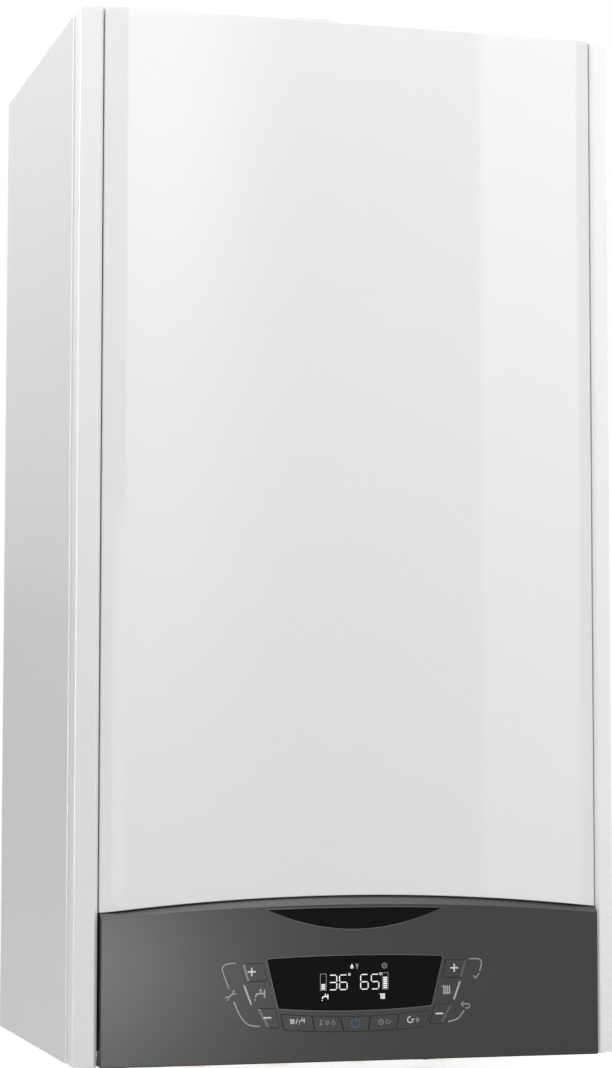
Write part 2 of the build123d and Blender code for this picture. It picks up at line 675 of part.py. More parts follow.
def front_panel():
    low = ARCH_APEX - ARCH_RISE - 10
    shell = upright(panel_plan(0), (low, TOP))
    front_edges = shell.faces().sort_by(Axis.Z)[-1].edges().sort_by(Axis.Y)[:1]
    shell = fillet(front_edges, TOP_EDGE_R)
    hollow = upright(panel_plan(PANEL_SHEET), (low, TOP - PANEL_SHEET))
    arch_spot = Pos(0, ARCH_CENTRE) * Circle(ARCH_R)
    inner_spot = Pos(0, ARCH_CENTRE) * Circle(ARCH_R + PANEL_SHEET)
    y_all = (PANEL_Y - 1, PANEL_Y + PANEL_DEPTH + 1)
    shell -= facing(arch_spot, y_all)
    hollow -= facing(inner_spot, y_all)
    hollow += Pos(0, 1, 0) * hollow
    panel = shell - hollow
    for z in (PIN_TOP_Z, sum(CROSS_Z) / 2):
        for x in (-PIN_X, PIN_X):
            panel += rod((x, PANEL_Y + PANEL_SHEET, z), (x, PANEL_REST_Y + SHEET + PIN_REACH, z), PIN_R)
    return panel


# ---------------------------------------------------------------- control fascia
def arched_face(half, low, apex, radius):
    """Face with straight sides and base, and an arched top of a given radius."""
    side_z = apex - radius + math.sqrt(radius**2 - half**2)
    outline = Polyline((-half, side_z), (-half, low), (half, low), (half, side_z))
    outline += ThreePointArc((half, side_z), (0, apex), (-half, side_z))
    return make_face(outline)


def bowed_face(top_half, top_z, top_bow, bottom_half, bottom_z, bottom_bow, grow=0.0):
    """Trapezoid whose top bows up and whose bottom bows down."""
    top_half, bottom_half = top_half + grow, bottom_half + grow
    top_z, bottom_z = top_z + grow, bottom_z - grow
    outline = ThreePointArc((-top_half, top_z), (0, top_z + top_bow), (top_half, top_z))
    outline += Line((top_half, top_z), (bottom_half, bottom_z))
    outline += ThreePointArc((bottom_half, bottom_z), (0, bottom_z - bottom_bow), (-bottom_half, bottom_z))
    outline += Line((-bottom_half, bottom_z), (-top_half, top_z))
    return make_face(outline)


def lens_face(grow=0.0):
    top = (LENS_TOP_HALF, LENS_TOP_Z, LENS_TOP_BOW)
    bottom = (LENS_BOTTOM_HALF, LENS_BOTTOM_Z, LENS_BOTTOM_BOW)
    return bowed_face(*top, *bottom, grow)


def badge_face(grow=0.0):
    """Crescent under the fascia's shoulder."""
    apex = ARCH_APEX - FASCIA_GAP - SHOULDER_DROP - BADGE_TOP + grow
    half = BADGE_HALF + TIP_GROWTH * grow
    end_z = apex - half**2 * SHOULDER_RISE / FASCIA_HALF**2
    low = apex - BADGE_HEIGHT - 2 * grow
    outline = ThreePointArc((-half, end_z), (0, apex), (half, end_z))
    outline += ThreePointArc((half, end_z), (0, low), (-half, end_z))
    return make_face(outline)


def mirrored_points(points):
    return tuple((-x, z) for x, z in reversed(points))


def row_key(index):
    """Corner points of a key of the lower row, by its place from the middle."""
    if index == 0:
        top, bottom = ROW_TOP[0], ROW_BOTTOM[0]
        return ((-top[0], top[1]), top, bottom, (-bottom[0], bottom[1]))
    side = 1 if index > 0 else -1
    inner, outer = abs(index) - 1, abs(index)
    points = (ROW_TOP[inner], ROW_TOP[outer], ROW_BOTTOM[outer], ROW_BOTTOM[inner])
    return points if side > 0 else mirrored_points(points)


def key_outlines():
    """Corner points of each key, by name."""
    keys = {
        "key_right_plus": PLUS_KEY,
        "key_right_minus": MINUS_KEY,
        "key_left_plus": mirrored_points(PLUS_KEY),
        "key_left_minus": mirrored_points(MINUS_KEY),
    }
    names = ("key_mode", "key_comfort", "key_power", "key_auto", "key_reset")
    for place, name in enumerate(names):
        keys[name] = row_key(place - 2)
    return keys


def key_face(points, grow):
    return offset(polygon([(x, BOTTOM + z) for x, z in points]), amount=grow, kind=Kind.INTERSECTION)


def control_fascia():
    low = BOTTOM
    rear_face = arched_face(FASCIA_HALF, low, ARCH_APEX - FASCIA_GAP, ARCH_R - FASCIA_GAP)
    front_apex = ARCH_APEX - FASCIA_GAP - SHOULDER_DROP
    front_r, _ = arc_circle(front_apex, FASCIA_HALF, SHOULDER_RISE)
    front_face = arched_face(FASCIA_HALF, low, front_apex, front_r)
    shoulder_y = FASCIA_Y + SHOULDER_DEPTH
    rim_y = FASCIA_Y + FASCIA_DEPTH
    rear_plane = Plane(origin=(0, shoulder_y, 0), x_dir=(1, 0, 0), z_dir=(0, -1, 0))
    front_plane = Plane(origin=(0, FASCIA_Y, 0), x_dir=(1, 0, 0), z_dir=(0, -1, 0))
    body = loft([rear_plane * rear_face, front_plane * front_face], ruled=True)
    body += facing(rear_face, (shoulder_y, rim_y))
    hollow_apex = ARCH_APEX - FASCIA_GAP - CAVITY_DROP
    hollow = arched_face(FASCIA_HALF - FASCIA_WALL, low + FASCIA_WALL, hollow_apex, ARCH_R - CAVITY_DROP)
    body -= facing(hollow, (FASCIA_BACK, rim_y))
    for side in (-1, 1):
        outer, inner = side * FASCIA_HALF, side * (FASCIA_HALF - PIVOT_BOSS)
        body += rod((outer, PIVOT_Y, PIVOT_Z), (inner, PIVOT_Y, PIVOT_Z), PIVOT_BOSS_R)
        body -= rod((outer + side, PIVOT_Y, PIVOT_Z), (inner - side, PIVOT_Y, PIVOT_Z), PIVOT_R + PIVOT_SLACK)
    through = (FASCIA_Y - 1, FASCIA_BACK + 1)
    body -= facing(lens_face(LENS_GAP), through)
    body -= facing(badge_face(INLAY_GAP), (FASCIA_Y - 1, FASCIA_Y + BADGE_RECESS))
    for points in key_outlines().values():
        body -= facing(key_face(points, KEY_GAP - ROW_GAP), through)
    return body


def badge_inlay():
    return facing(badge_face(), (FASCIA_Y - BADGE_PROUD, FASCIA_Y + BADGE_RECESS))


def display_lens():
    flange = facing(lens_face(LENS_FLANGE), (FASCIA_BACK, FASCIA_BACK + LENS_FLANGE_T))
    return facing(lens_face(), (FASCIA_Y, FASCIA_BACK)) + flange


def key(points):
    cap = facing(key_face(points, -ROW_GAP), (FASCIA_Y - KEY_PROUD, FASCIA_Y + KEY_DEPTH))
    front = FASCIA_BACK + KEY_FLANGE_GAP
    flange = facing(key_face(points, -ROW_GAP), (front, front + KEY_FLANGE_T))
    return cap + Pos(0, 0, KEY_FLANGE) * flange + Pos(0, 0, -KEY_FLANGE) * flange


def centre_of(points):
    return sum(x for x, _ in points) / len(points), BOTTOM + sum(z for _, z in points) / len(points)


def control_box():
    """Rear shell behind the fascia, open to the front, cut back so that it clears the panel as it swings."""
    rear = [(BOX_BACK_Y, BOX_BOTTOM), (BOX_BACK_Y, BOX_BACK_TOP), BOX_KNEE]
    outer = polygon([(FASCIA_BACK, BOX_BOTTOM), *rear, (FASCIA_BACK, BOX_FRONT_TOP)])
    x_inside = (BOX_WALL - BOX_HALF, BOX_HALF - BOX_WALL)
    z_inside = (BOX_BOTTOM + BOX_WALL, BOX_FRONT_TOP - BOX_WALL)
    shell = across(outer, (-BOX_HALF, BOX_HALF))
    shell -= across(offset(outer, amount=-BOX_WALL, kind=Kind.INTERSECTION), x_inside)
    shell -= block(x_inside, (FASCIA_BACK, FASCIA_BACK + BOX_WALL), z_inside)
    width, height = VENT_SLOT
    slot_y = (BOX_BACK_Y - BOX_WALL - 1, BOX_BACK_Y + 1)
    slot_z = (BOX_BACK_TOP - 1.5 * height, BOX_BACK_TOP - height / 2)
    for i in range(VENT_SLOTS):
        x = (i - (VENT_SLOTS - 1) / 2) * VENT_PITCH
        shell -= block((x - width / 2, x + width / 2), slot_y, slot_z)
    return shell


def control_board():
    """Printed board with the display, the key switches and the power parts."""
    front = BOARD_Y - BOARD_T
    switch_front = FASCIA_Y + KEY_DEPTH + KEY_TRAVEL + SWITCH_GAP
    board = block((-BOARD_HALF, BOARD_HALF), (front, BOARD_Y), BOARD_Z)
    board += block((-SCREEN_HALF, SCREEN_HALF), (FASCIA_BACK + LENS_FLANGE_T, front), SCREEN_Z)
    for points in key_outlines().values():
        x, z = centre_of(points)
        half = SWITCH_HALF
        board += block((x - half, x + half), (switch_front, front), (z - half, z + half))
    for x_low, x_high, height, z_low, z_high in BOARD_PARTS:
        board += block((x_low, x_high), (BOARD_Y, BOARD_Y + height), (BOTTOM + z_low, BOTTOM + z_high))
    for x in CAPACITORS:
        z = sum(BOARD_Z) / 2
        board += rod((x, BOARD_Y, z), (x, BOARD_Y + CAPACITOR_HEIGHT, z), CAPACITOR_R)
    return board


def hinge_pins():
    start = TRIM_INNER + TRIM_WALL
    pin = rod((start, PIVOT_Y, PIVOT_Z), (TRIM_INNER - PIVOT_REACH, PIVOT_Y, PIVOT_Z), PIVOT_R)
    pin += rod((TRIM_INNER, PIVOT_Y, PIVOT_Z), (TRIM_INNER - PIVOT_COLLAR, PIVOT_Y, PIVOT_Z), PIVOT_COLLAR_R)
    return both_sides(pin)


# ---------------------------------------------------------------- flue
def flue_adapter():
    """Coaxial collar: flue socket in the middle, with the air socket round it and above it."""
    width, depth = FLANGE_SIZE
    centre = (FLUE_X, FLUE_Y)
    flange = Pos(FLUE_X, FLUE_Y, TOP) * extrude(RectangleRounded(width, depth, FLANGE_CORNER_R), FLANGE_T)
    collar = flange + rod((*centre, TOP), (*centre, COLLAR_TOP), AIR_TUBE_R)
    collar -= rod((*centre, COLLAR_FLOOR), (*centre, COLLAR_TOP), AIR_SOCKET_R)
    collar -= rod((*centre, TOP), (*centre, COLLAR_FLOOR), AIR_SOCKET_R - AIR_LEDGE)
    collar += rod((*centre, COLLAR_LOW), (*centre, COLLAR_FLOOR), FLUE_TUBE_R)
    reach = AIR_SOCKET_R - FLUE_TUBE_R
    web = Pos(FLUE_TUBE_R + reach / 2, 0, 0) * Box(reach + 2, WEB_WIDTH, WEB_HEIGHT)
    for turn in (0, 120, 240):
        collar += Pos(FLUE_X, FLUE_Y, COLLAR_FLOOR - WEB_HEIGHT / 2) * Rot(0, 0, turn) * web
    collar -= rod((*centre, COLLAR_LOW), (*centre, COLLAR_TOP), FLUE_SOCKET_R)
    for x in (FLUE_X - SAMPLE_X, FLUE_X + SAMPLE_X):
        collar += rod((x, FLUE_Y, TOP + FLANGE_T), (x, FLUE_Y, TOP + FLANGE_T + SAMPLE_HEIGHT), SAMPLE_R)
    for x, y in flue_screw_spots():
        collar -= rod((x, y, TOP), (x, y, TOP + FLANGE_T), SCREW_HOLE_R)
    return collar


def intake_caps():
    lip = rod((INTAKE_X, FLUE_Y, TOP), (INTAKE_X, FLUE_Y, TOP + INTAKE_LIP), INTAKE_CAP_R)
    plug = rod((INTAKE_X, FLUE_Y, TOP - 7), (INTAKE_X, FLUE_Y, TOP), INTAKE_R - 0.4, INTAKE_R - 3)
    grip_x = (INTAKE_X - INTAKE_GRIP / 2, INTAKE_X + INTAKE_GRIP / 2)
    grip_z = (TOP + INTAKE_LIP, TOP + INTAKE_LIP + INTAKE_GRIP_RISE)
    grip = block(grip_x, (FLUE_Y - 3, FLUE_Y + 3), grip_z)
    return both_sides(lip + plug + grip)


def flue_pipe():
    low, high = EX_Z + EX_R + OUTLET_SEAT, COLLAR_LOW + 14
    return rod((FLUE_X, FLUE_Y, low), (FLUE_X, FLUE_Y, high), FLUE_TUBE_R + 3, FLUE_TUBE_R + 0.2)


def hex_screws():
    screws = [hex_screw((x, y, TOP + FLANGE_T), (0, 0, 1)) for x, y in flue_screw_spots()]
    for angle in DOOR_SCREW_ANGLES:
        x, z = around_exchanger(DOOR_SCREW_R, angle)
        screws.append(hex_screw((x, DOOR_FACE_Y, z), (0, -1, 0), DOOR_T + EX_FLANGE_T - 2))
    return Compound(screws)


# ---------------------------------------------------------------- heat exchanger and burner
def exchanger_body():
    front = EX_FLANGE_Y + EX_FLANGE_T
    outlet_top = EX_Z + EX_R + OUTLET_RISE
    ports = [(EX_X - PORT_OFFSET, PORT_R, PORT_END_Z), (EX_X + PORT_OFFSET, PORT_R, PORT_END_Z)]
    ports.append((EX_X, PORT_R - 1, DRAIN_END_Z))
    added = [
        rod((EX_X, EX_FLANGE_Y, EX_Z), (EX_X, front, EX_Z), EX_FLANGE_R),
        rod((FLUE_X, FLUE_Y, EX_Z), (FLUE_X, FLUE_Y, outlet_top), FLUE_TUBE_R),
        rod((FLUE_X, FLUE_Y, EX_Z), (FLUE_X, FLUE_Y, EX_Z + EX_R + OUTLET_SEAT), FLUE_TUBE_R + PORT_WALL),
        block((EX_X - LUG_HALF, EX_X + LUG_HALF), (HANGER_Y, EX_BACK_Y), (EX_Z + EX_R - 20, HANGER_Z)),
    ]
    removed = [
        rod((EX_X, EX_FLANGE_Y, EX_Z), (EX_X, EX_BACK_Y - EX_WALL, EX_Z), EX_R - EX_WALL),
        rod((FLUE_X, FLUE_Y, EX_Z), (FLUE_X, FLUE_Y, outlet_top), FLUE_TUBE_R - PORT_WALL),
    ]
    for i in range(EX_RIBS):
        y = front + 14 + EX_RIB_PITCH * i
        added.append(rod((EX_X, y, EX_Z), (EX_X, y + EX_RIB, EX_Z), EX_R + 2))
    for x, radius, end in ports:
        added.append(rod((x, PORT_Y, EX_Z), (x, PORT_Y, end), radius))
        removed.append(rod((x, PORT_Y, EX_Z), (x, PORT_Y, end), radius - PORT_WALL))
    for angle in DOOR_SCREW_ANGLES:
        x, z = around_exchanger(DOOR_SCREW_R, angle)
        removed.append(rod((x, EX_FLANGE_Y, z), (x, front, z), SCREW_HOLE_R))
    return rod((EX_X, front, EX_Z), (EX_X, EX_BACK_Y, EX_Z), EX_R) + added - removed


def exchanger_coil():
    """Stack of flat-wound tube round the burner."""
    inner, outer = COIL_R
    start, end = COIL_Y
    pitch = (end - start) / (COIL_TURNS - 1 + COIL_SHARE)
    middle = (inner + outer) / 2
    coil = rod((EX_X, start, EX_Z), (EX_X, end, EX_Z), middle + COIL_CORE, middle - COIL_CORE)
    for i in range(COIL_TURNS):
        y = start + i * pitch
        coil += rod((EX_X, y, EX_Z), (EX_X, y + COIL_SHARE * pitch, EX_Z), outer, inner)
    return coil


def slot_face(start, end, half):
    """Rounded bar drawn as (x, z) between two points."""
    middle = ((start[0] + end[0]) / 2, (start[1] + end[1]) / 2)
    length = math.dist(start, end)
    angle = math.degrees(math.atan2(end[1] - start[1], end[0] - start[0]))
    return Pos(*middle) * Rot(0, 0, angle) * SlotCenterToCenter(length, 2 * half)


def burner_door():
    """Round door with the channel that brings the gas and air mixture from the fan."""
    face = DOOR_FACE_Y
    door = rod((EX_X, EX_FLANGE_Y, EX_Z), (EX_X, face, EX_Z), EX_FLANGE_R)
    start = (EX_X, EX_Z)
    door += facing(slot_face(start, CHANNEL_END, CHANNEL_HALF), (face - CHANNEL_T, face))
    inside = (face - CHANNEL_T + CHANNEL_WALL, face - CHANNEL_WALL)
    door -= facing(slot_face(start, CHANNEL_END, CHANNEL_HALF - CHANNEL_WALL), inside)
    door -= rod((EX_X, EX_FLANGE_Y, EX_Z), (EX_X, face - CHANNEL_WALL, EX_Z), BURNER_R - 10)
    x_port = (SPOUT_X[0] + FAN_WALL, SPOUT_X[1] - FAN_WALL)
    z_port = (SPOUT_Z[0] + FAN_WALL, SPOUT_Z[1] - FAN_WALL)
    door -= block(x_port, (face - CHANNEL_WALL, face), z_port)
    for angle in DOOR_SCREW_ANGLES:
        x, z = around_exchanger(DOOR_SCREW_R, angle)
        door -= rod((x, EX_FLANGE_Y, z), (x, face, z), SCREW_HOLE_R)
    for angle in ELECTRODE_ANGLES:
        x, z = around_exchanger(ELECTRODE_ORBIT, angle)
        door -= rod((x, EX_FLANGE_Y, z), (x, face, z), ELECTRODE_R + ELECTRODE_SLACK)
    return door


def burner_tube():
    tube = rod((EX_X, EX_FLANGE_Y, EX_Z), (EX_X, BURNER_BACK_Y, EX_Z), BURNER_R)
    tube -= rod((EX_X, EX_FLANGE_Y, EX_Z), (EX_X, BURNER_BACK_Y - 2, EX_Z), BURNER_R - BURNER_WALL)
    for row in range(3):
        for i in range(6):
            y = EX_FLANGE_Y + 18 + 22 * row
            turn = 60 * i + 30 * row
            x, z = around_exchanger(BURNER_R + 5, turn)
            tube -= rod((EX_X, y, EX_Z), (x, y, z), 5)
    return tube


def electrodes():
    face = DOOR_FACE_Y
    solids = []
    for angle in ELECTRODE_ANGLES:
        x, z = around_exchanger(ELECTRODE_ORBIT, angle)
        body = rod((x, face - 18, z), (x, EX_FLANGE_Y + 12, z), ELECTRODE_R)
        body += rod((x, face - 4, z), (x, face, z), ELECTRODE_R + 3)
        body += rod((x, EX_FLANGE_Y + 12, z), (x, EX_FLANGE_Y + 40, z), 1.2)
        solids.append(body)
    return Compound(solids)


# ---------------------------------------------------------------- fan and gas
def fan_housing():
    front, rear = FAN_FRONT_Y, FAN_REAR_Y
    y_box = (front, rear - 4)
    housing = rod((FAN_X, front, FAN_Z), (FAN_X, rear, FAN_Z), FAN_R)
    housing += block((SPOUT_X[0], FAN_X), y_box, SPOUT_Z)
    housing += block(SPOUT_X, (DOOR_FACE_Y, front), SPOUT_Z)
    x_in = (SPOUT_X[0] + FAN_WALL, FAN_X)
    z_in = (SPOUT_Z[0] + FAN_WALL, SPOUT_Z[1] - FAN_WALL)
    housing -= rod((FAN_X, front + FAN_WALL, FAN_Z), (FAN_X, rear - FAN_WALL, FAN_Z), FAN_R - FAN_WALL)
    housing -= block(x_in, (front + FAN_WALL, rear - 4 - FAN_WALL), z_in)
    housing -= block((x_in[0], SPOUT_X[1] - FAN_WALL), (DOOR_FACE_Y, front + FAN_WALL), z_in)
    housing -= rod((FAN_X, rear - FAN_WALL, FAN_Z), (FAN_X, rear, FAN_Z), FAN_INLET_R)
    housing -= rod((FAN_X, front, FAN_Z), (FAN_X, front + FAN_WALL, FAN_Z), SHAFT_R + 2)
    return housing


def fan_motor():
    front, rear = MOTOR_FRONT_Y, FAN_FRONT_Y
    motor = rod((FAN_X, front + 4, FAN_Z), (FAN_X, rear, FAN_Z), MOTOR_R)
    motor += rod((FAN_X, front, FAN_Z), (FAN_X, front + 4, FAN_Z), MOTOR_R - 3)
    motor += block((FAN_X - 12, FAN_X + 12), (front + 10, rear - 6), (FAN_Z - MOTOR_R - 12, FAN_Z))
    motor -= rod((FAN_X, front + 14, FAN_Z), (FAN_X, rear, FAN_Z), SHAFT_R + SHAFT_SLACK)
    return motor


def fan_impeller():
    front, rear = IMPELLER_Y
    wheel = rod((FAN_X, front, FAN_Z), (FAN_X, front + 3, FAN_Z), IMPELLER_R)
    wheel += rod((FAN_X, front, FAN_Z), (FAN_X, front + 14, FAN_Z), 10)
    wheel += rod((FAN_X, rear - 2.5, FAN_Z), (FAN_X, rear, FAN_Z), IMPELLER_R, IMPELLER_R - 14)
    wheel += rod((FAN_X, MOTOR_FRONT_Y + 18, FAN_Z), (FAN_X, front, FAN_Z), SHAFT_R)
    blade = Pos(IMPELLER_R - 7, (front + rear) / 2, 0) * Rot(0, 35, 0) * Box(15, rear - front, 1.6)
    for i in range(IMPELLER_BLADES):
        wheel += Pos(FAN_X, 0, FAN_Z) * Rot(0, 360 * i / IMPELLER_BLADES, 0) * blade
    return wheel


def gas_valve():
    low, high = VALVE_Z
    half_x, half_y = VALVE_HALF
    front = VALVE_Y - half_y
    valve = block((FAN_X - half_x, FAN_X + half_x), (front, VALVE_Y + half_y), (low + 8, high))
    valve += rod((FAN_X, VALVE_Y, low), (FAN_X, VALVE_Y, low + 8), 16)
    for z in (low + 24, high - 16):
        valve += rod((FAN_X, front - 22, z), (FAN_X, front, z), VALVE_COIL_R)
    return valve + rod((FAN_X, NOZZLE_Y, high), (FAN_X, NOZZLE_Y, FAN_Z - COLLAR_R), NOZZLE_R)


def gas_pipe():
    low, high = STUB_TOP, VALVE_Z[0]
    third = (high - low) / 3
    forward = VALVE_Y - 18
    route = [
        (0, STUB_Y, low),
        (0, STUB_Y, low + 1.1 * third),
        (0, forward, low + 1.75 * third),
        (FAN_X, forward, low + 2.25 * third),
        (FAN_X, VALVE_Y, high - 40),
        (FAN_X, VALVE_Y, high),
    ]
    return pipe(route, GAS_BEND, PIPE_R)


def air_silencer():
    """Intake box behind the fan, open at its top."""
    front, rear = SILENCER_Y
    wall = SILENCER_WALL
    outer = block(SILENCER_X, SILENCER_Y, SILENCER_Z)
    outer = fillet(outer.edges().filter_by(Axis.Z), SILENCER_CORNER)
    outer += rod((FAN_X, FAN_REAR_Y, FAN_Z), (FAN_X, front, FAN_Z), COLLAR_R)
    inner_x = (SILENCER_X[0] + wall, SILENCER_X[1] - wall)
    hollow = block(inner_x, (front + wall, rear - wall), (SILENCER_Z[0] + wall, SILENCER_Z[1]))
    hollow = fillet(hollow.edges().filter_by(Axis.Z), SILENCER_CORNER - wall)
    hollow += rod((FAN_X, FAN_REAR_Y, FAN_Z), (FAN_X, front + wall, FAN_Z), COLLAR_R - 4)
    return outer - hollow


# ---------------------------------------------------------------- expansion vessel
def vessel_shell(inset):
    """Half of the vessel's section, turned about its axis."""
    rear, front = BACK_FRONT - inset, VESSEL_FRONT_Y + inset
    middle = (rear + front) / 2
    radius = VESSEL_R - inset
    corner = VESSEL_CORNER
    rim = [(radius - corner, rear), (radius, rear - corner)]
    rim += [(radius, front + corner), (radius - corner, front)]
    return revolve(polygon([(0, rear), *rim, (0, front)]), Axis.Y), middle


def expansion_vessel():
    outer, middle = vessel_shell(0)
    hollow, _ = vessel_shell(VESSEL_WALL)
    outer += rod((0, middle - 2, 0), (0, middle + 2, 0), VESSEL_SEAM_R)
    vessel = Pos(VESSEL_X, 0, VESSEL_Z) * (outer - hollow)
    neck_z = VESSEL_Z - VESSEL_R
    return vessel + rod((VESSEL_X, middle, neck_z), (VESSEL_X, middle, neck_z - 18), VESSEL_NECK_R)


# ---------------------------------------------------------------- water blocks
def return_block():
    """Right-hand water block: cold inlet, heating return, filling valve and pump casing."""
    front, rear = PUMP_Y
    body = block(BLOCK_X, BLOCK_Y, BLOCK_Z)
    body = fillet(body.edges().filter_by(Axis.Z), BLOCK_CORNER)
    body += rod((PUMP_X, front, PUMP_Z), (PUMP_X, rear, PUMP_Z), PUMP_R)
    body += rod((PUMP_X, PUMP_PORT_Y, PUMP_Z), (PUMP_X, PUMP_PORT_Y, PUMP_PORT_TOP), PORT_R)
    body += block((FILL_X - FILL_R, FILL_X + FILL_R), (FILL_Y, BLOCK_Y[0] + 1), (STUB_TOP, STUB_TOP + 20))
    body += rod((FILL_X, FILL_Y, FILL_LOW), (FILL_X, FILL_Y, STUB_TOP + 22), FILL_R)
    body -= rod((PUMP_X, front + 4, PUMP_Z), (PUMP_X, rear - 8, PUMP_Z), PUMP_CAVITY_R)
    body -= rod((PUMP_X, front, PUMP_Z), (PUMP_X, front + 4, PUMP_Z), PUMP_SHAFT_R + 2)
    body -= rod((PUMP_X, PUMP_PORT_Y, PUMP_Z), (PUMP_X, PUMP_PORT_Y, PUMP_PORT_TOP), PORT_R - PORT_WALL)
    inlet = (2 * STUB_PITCH, STUB_Y, STUB_TOP)
    body -= rod(inlet, (2 * STUB_PITCH, STUB_Y, STUB_TOP + INLET_BORE), INLET_BORE_R)
    guide = (STUB_PITCH, STUB_Y, TURBINE_ROOF)
    body -= rod((STUB_PITCH, STUB_Y, STUB_TOP), guide, TURBINE_BORE)
    body -= rod(guide, (STUB_PITCH, STUB_Y, TURBINE_ROOF + TURBINE_PIN_LENGTH), TURBINE_PIN_R + STEM_SLACK)
    spindle_end = (FILL_X, FILL_Y, FILL_SPINDLE_TOP + 2)
    return body - rod((FILL_X, FILL_Y, FILL_LOW), spindle_end, FILL_SPINDLE_R + STEM_SLACK)


def flow_block():
    """Left-hand water block: heating flow, hot water outlet and the diverter valve's body."""
    chamber_top = DIVERTER_TOP - DIVERTER_LID
    body = block((-BLOCK_X[1], -BLOCK_X[0]), BLOCK_Y, BLOCK_Z)
    body = fillet(body.edges().filter_by(Axis.Z), BLOCK_CORNER)
    body += rod((DIVERTER_X, STUB_Y, BLOCK_Z[1]), (DIVERTER_X, STUB_Y, DIVERTER_TOP), DIVERTER_R)
    body -= rod((DIVERTER_X, STUB_Y, DIVERTER_FLOOR), (DIVERTER_X, STUB_Y, chamber_top), DIVERTER_BORE)
    body -= rod((DIVERTER_X, STUB_Y, chamber_top), (DIVERTER_X, STUB_Y, DIVERTER_TOP), STEM_R + STEM_SLACK)
    body -= rod((DIVERTER_X, STUB_Y, STUB_TOP), (DIVERTER_X, STUB_Y, DIVERTER_FLOOR), INLET_BORE_R)
    outlet = (-STUB_PITCH, STUB_Y, STUB_TOP)
    return body - rod(outlet, (-STUB_PITCH, STUB_Y, STUB_TOP + INLET_BORE), OUTLET_BORE_R)


def diverter_motor():
    half_x, half_y, height = DIVERTER_MOTOR
    x_span = (DIVERTER_X - half_x, DIVERTER_X + half_x)
    motor = block(x_span, (STUB_Y - half_y, STUB_Y + half_y), (DIVERTER_TOP, DIVERTER_TOP + height))
    motor = fillet(motor.edges().filter_by(Axis.Z), 6)
    roof = STEM_Z[1] + 2 * STEM_TRAVEL
    return motor - rod((DIVERTER_X, STUB_Y, DIVERTER_TOP), (DIVERTER_X, STUB_Y, roof), STEM_R + 0.3)


def diverter_stem():
    stem = rod((DIVERTER_X, STUB_Y, STEM_Z[0]), (DIVERTER_X, STUB_Y, STEM_Z[1]), STEM_R)
    return stem + rod((DIVERTER_X, STUB_Y, STEM_DISC_Z[0]), (DIVERTER_X, STUB_Y, STEM_DISC_Z[1]), STEM_DISC_R)


def plate_exchanger():
    """Brazed stack of plates with four ports against the water blocks."""
    front, rear = PLATE_Y
    pitch = (rear - front) / PLATE_COUNT
    width, height = 2 * PLATE_HALF, PLATE_Z[1] - PLATE_Z[0]
    core = RectangleRounded(width - 2 * PLATE_STEP, height - 2 * PLATE_STEP, PLATE_CORNER - PLATE_STEP)
    plate = facing(RectangleRounded(width, height, PLATE_CORNER), (0, pitch * 0.55))
    stack = facing(core, (front, rear)) + [Pos(0, front + i * pitch, 0) * plate for i in range(PLATE_COUNT)]
    stack = Pos(0, 0, sum(PLATE_Z) / 2) * stack
    for x in (-PLATE_PORT_X, PLATE_PORT_X):
        for z in PLATE_PORT_Z:
            stack += rod((x, BLOCK_Y[1], z), (x, front, z), PLATE_PORT_R)
    return stack


def pump_motor():
    front, rear = PUMP_MOTOR_FRONT, PUMP_Y[0]
    motor = rod((PUMP_X, front + 14, PUMP_Z), (PUMP_X, rear, PUMP_Z), PUMP_MOTOR_R)
    motor += rod((PUMP_X, front + 6, PUMP_Z), (PUMP_X, front + 14, PUMP_Z), PUMP_MOTOR_R - 6)
    motor += rod((PUMP_X, front, PUMP_Z), (PUMP_X, front + 6, PUMP_Z), 12)
    motor += block((PUMP_X - 30, PUMP_X + 30), (front + 20, rear - 18), (PUMP_Z, PUMP_Z + PUMP_MOTOR_R + 8))
    return motor - rod((PUMP_X, front + 20, PUMP_Z), (PUMP_X, rear, PUMP_Z), PUMP_SHAFT_R + SHAFT_SLACK)


def pump_impeller():
    front = PUMP_Y[0] + 8
    inner = 6.0
    wheel = rod((PUMP_X, front, PUMP_Z), (PUMP_X, front + 2.5, PUMP_Z), PUMP_WHEEL_R)
    wheel += rod((PUMP_X, front, PUMP_Z), (PUMP_X, front + 16, PUMP_Z), 8)
    wheel += rod((PUMP_X, PUMP_MOTOR_FRONT + 30, PUMP_Z), (PUMP_X, front, PUMP_Z), PUMP_SHAFT_R)
    reach = PUMP_WHEEL_R - 1 - inner
    vane = Pos(inner + reach / 2, front + 8, 0) * Rot(0, 30, 0) * Box(reach, 16, 2)
    for i in range(PUMP_VANES):
        wheel += Pos(PUMP_X, 0, PUMP_Z) * Rot(0, 360 * i / PUMP_VANES, 0) * vane
    return wheel


def air_vent():
    low = BLOCK_Z[1]
    neck, shoulder = low + VENT_NECK, low + VENT_NECK + VENT_HEIGHT
    vent = rod((VENT_X, VENT_Y, low), (VENT_X, VENT_Y, neck), VENT_R / 2)
    vent += rod((VENT_X, VENT_Y, neck), (VENT_X, VENT_Y, shoulder), VENT_R)
    return vent + rod((VENT_X, VENT_Y, shoulder), (VENT_X, VENT_Y, shoulder + VENT_NECK), VENT_R - 6.5)


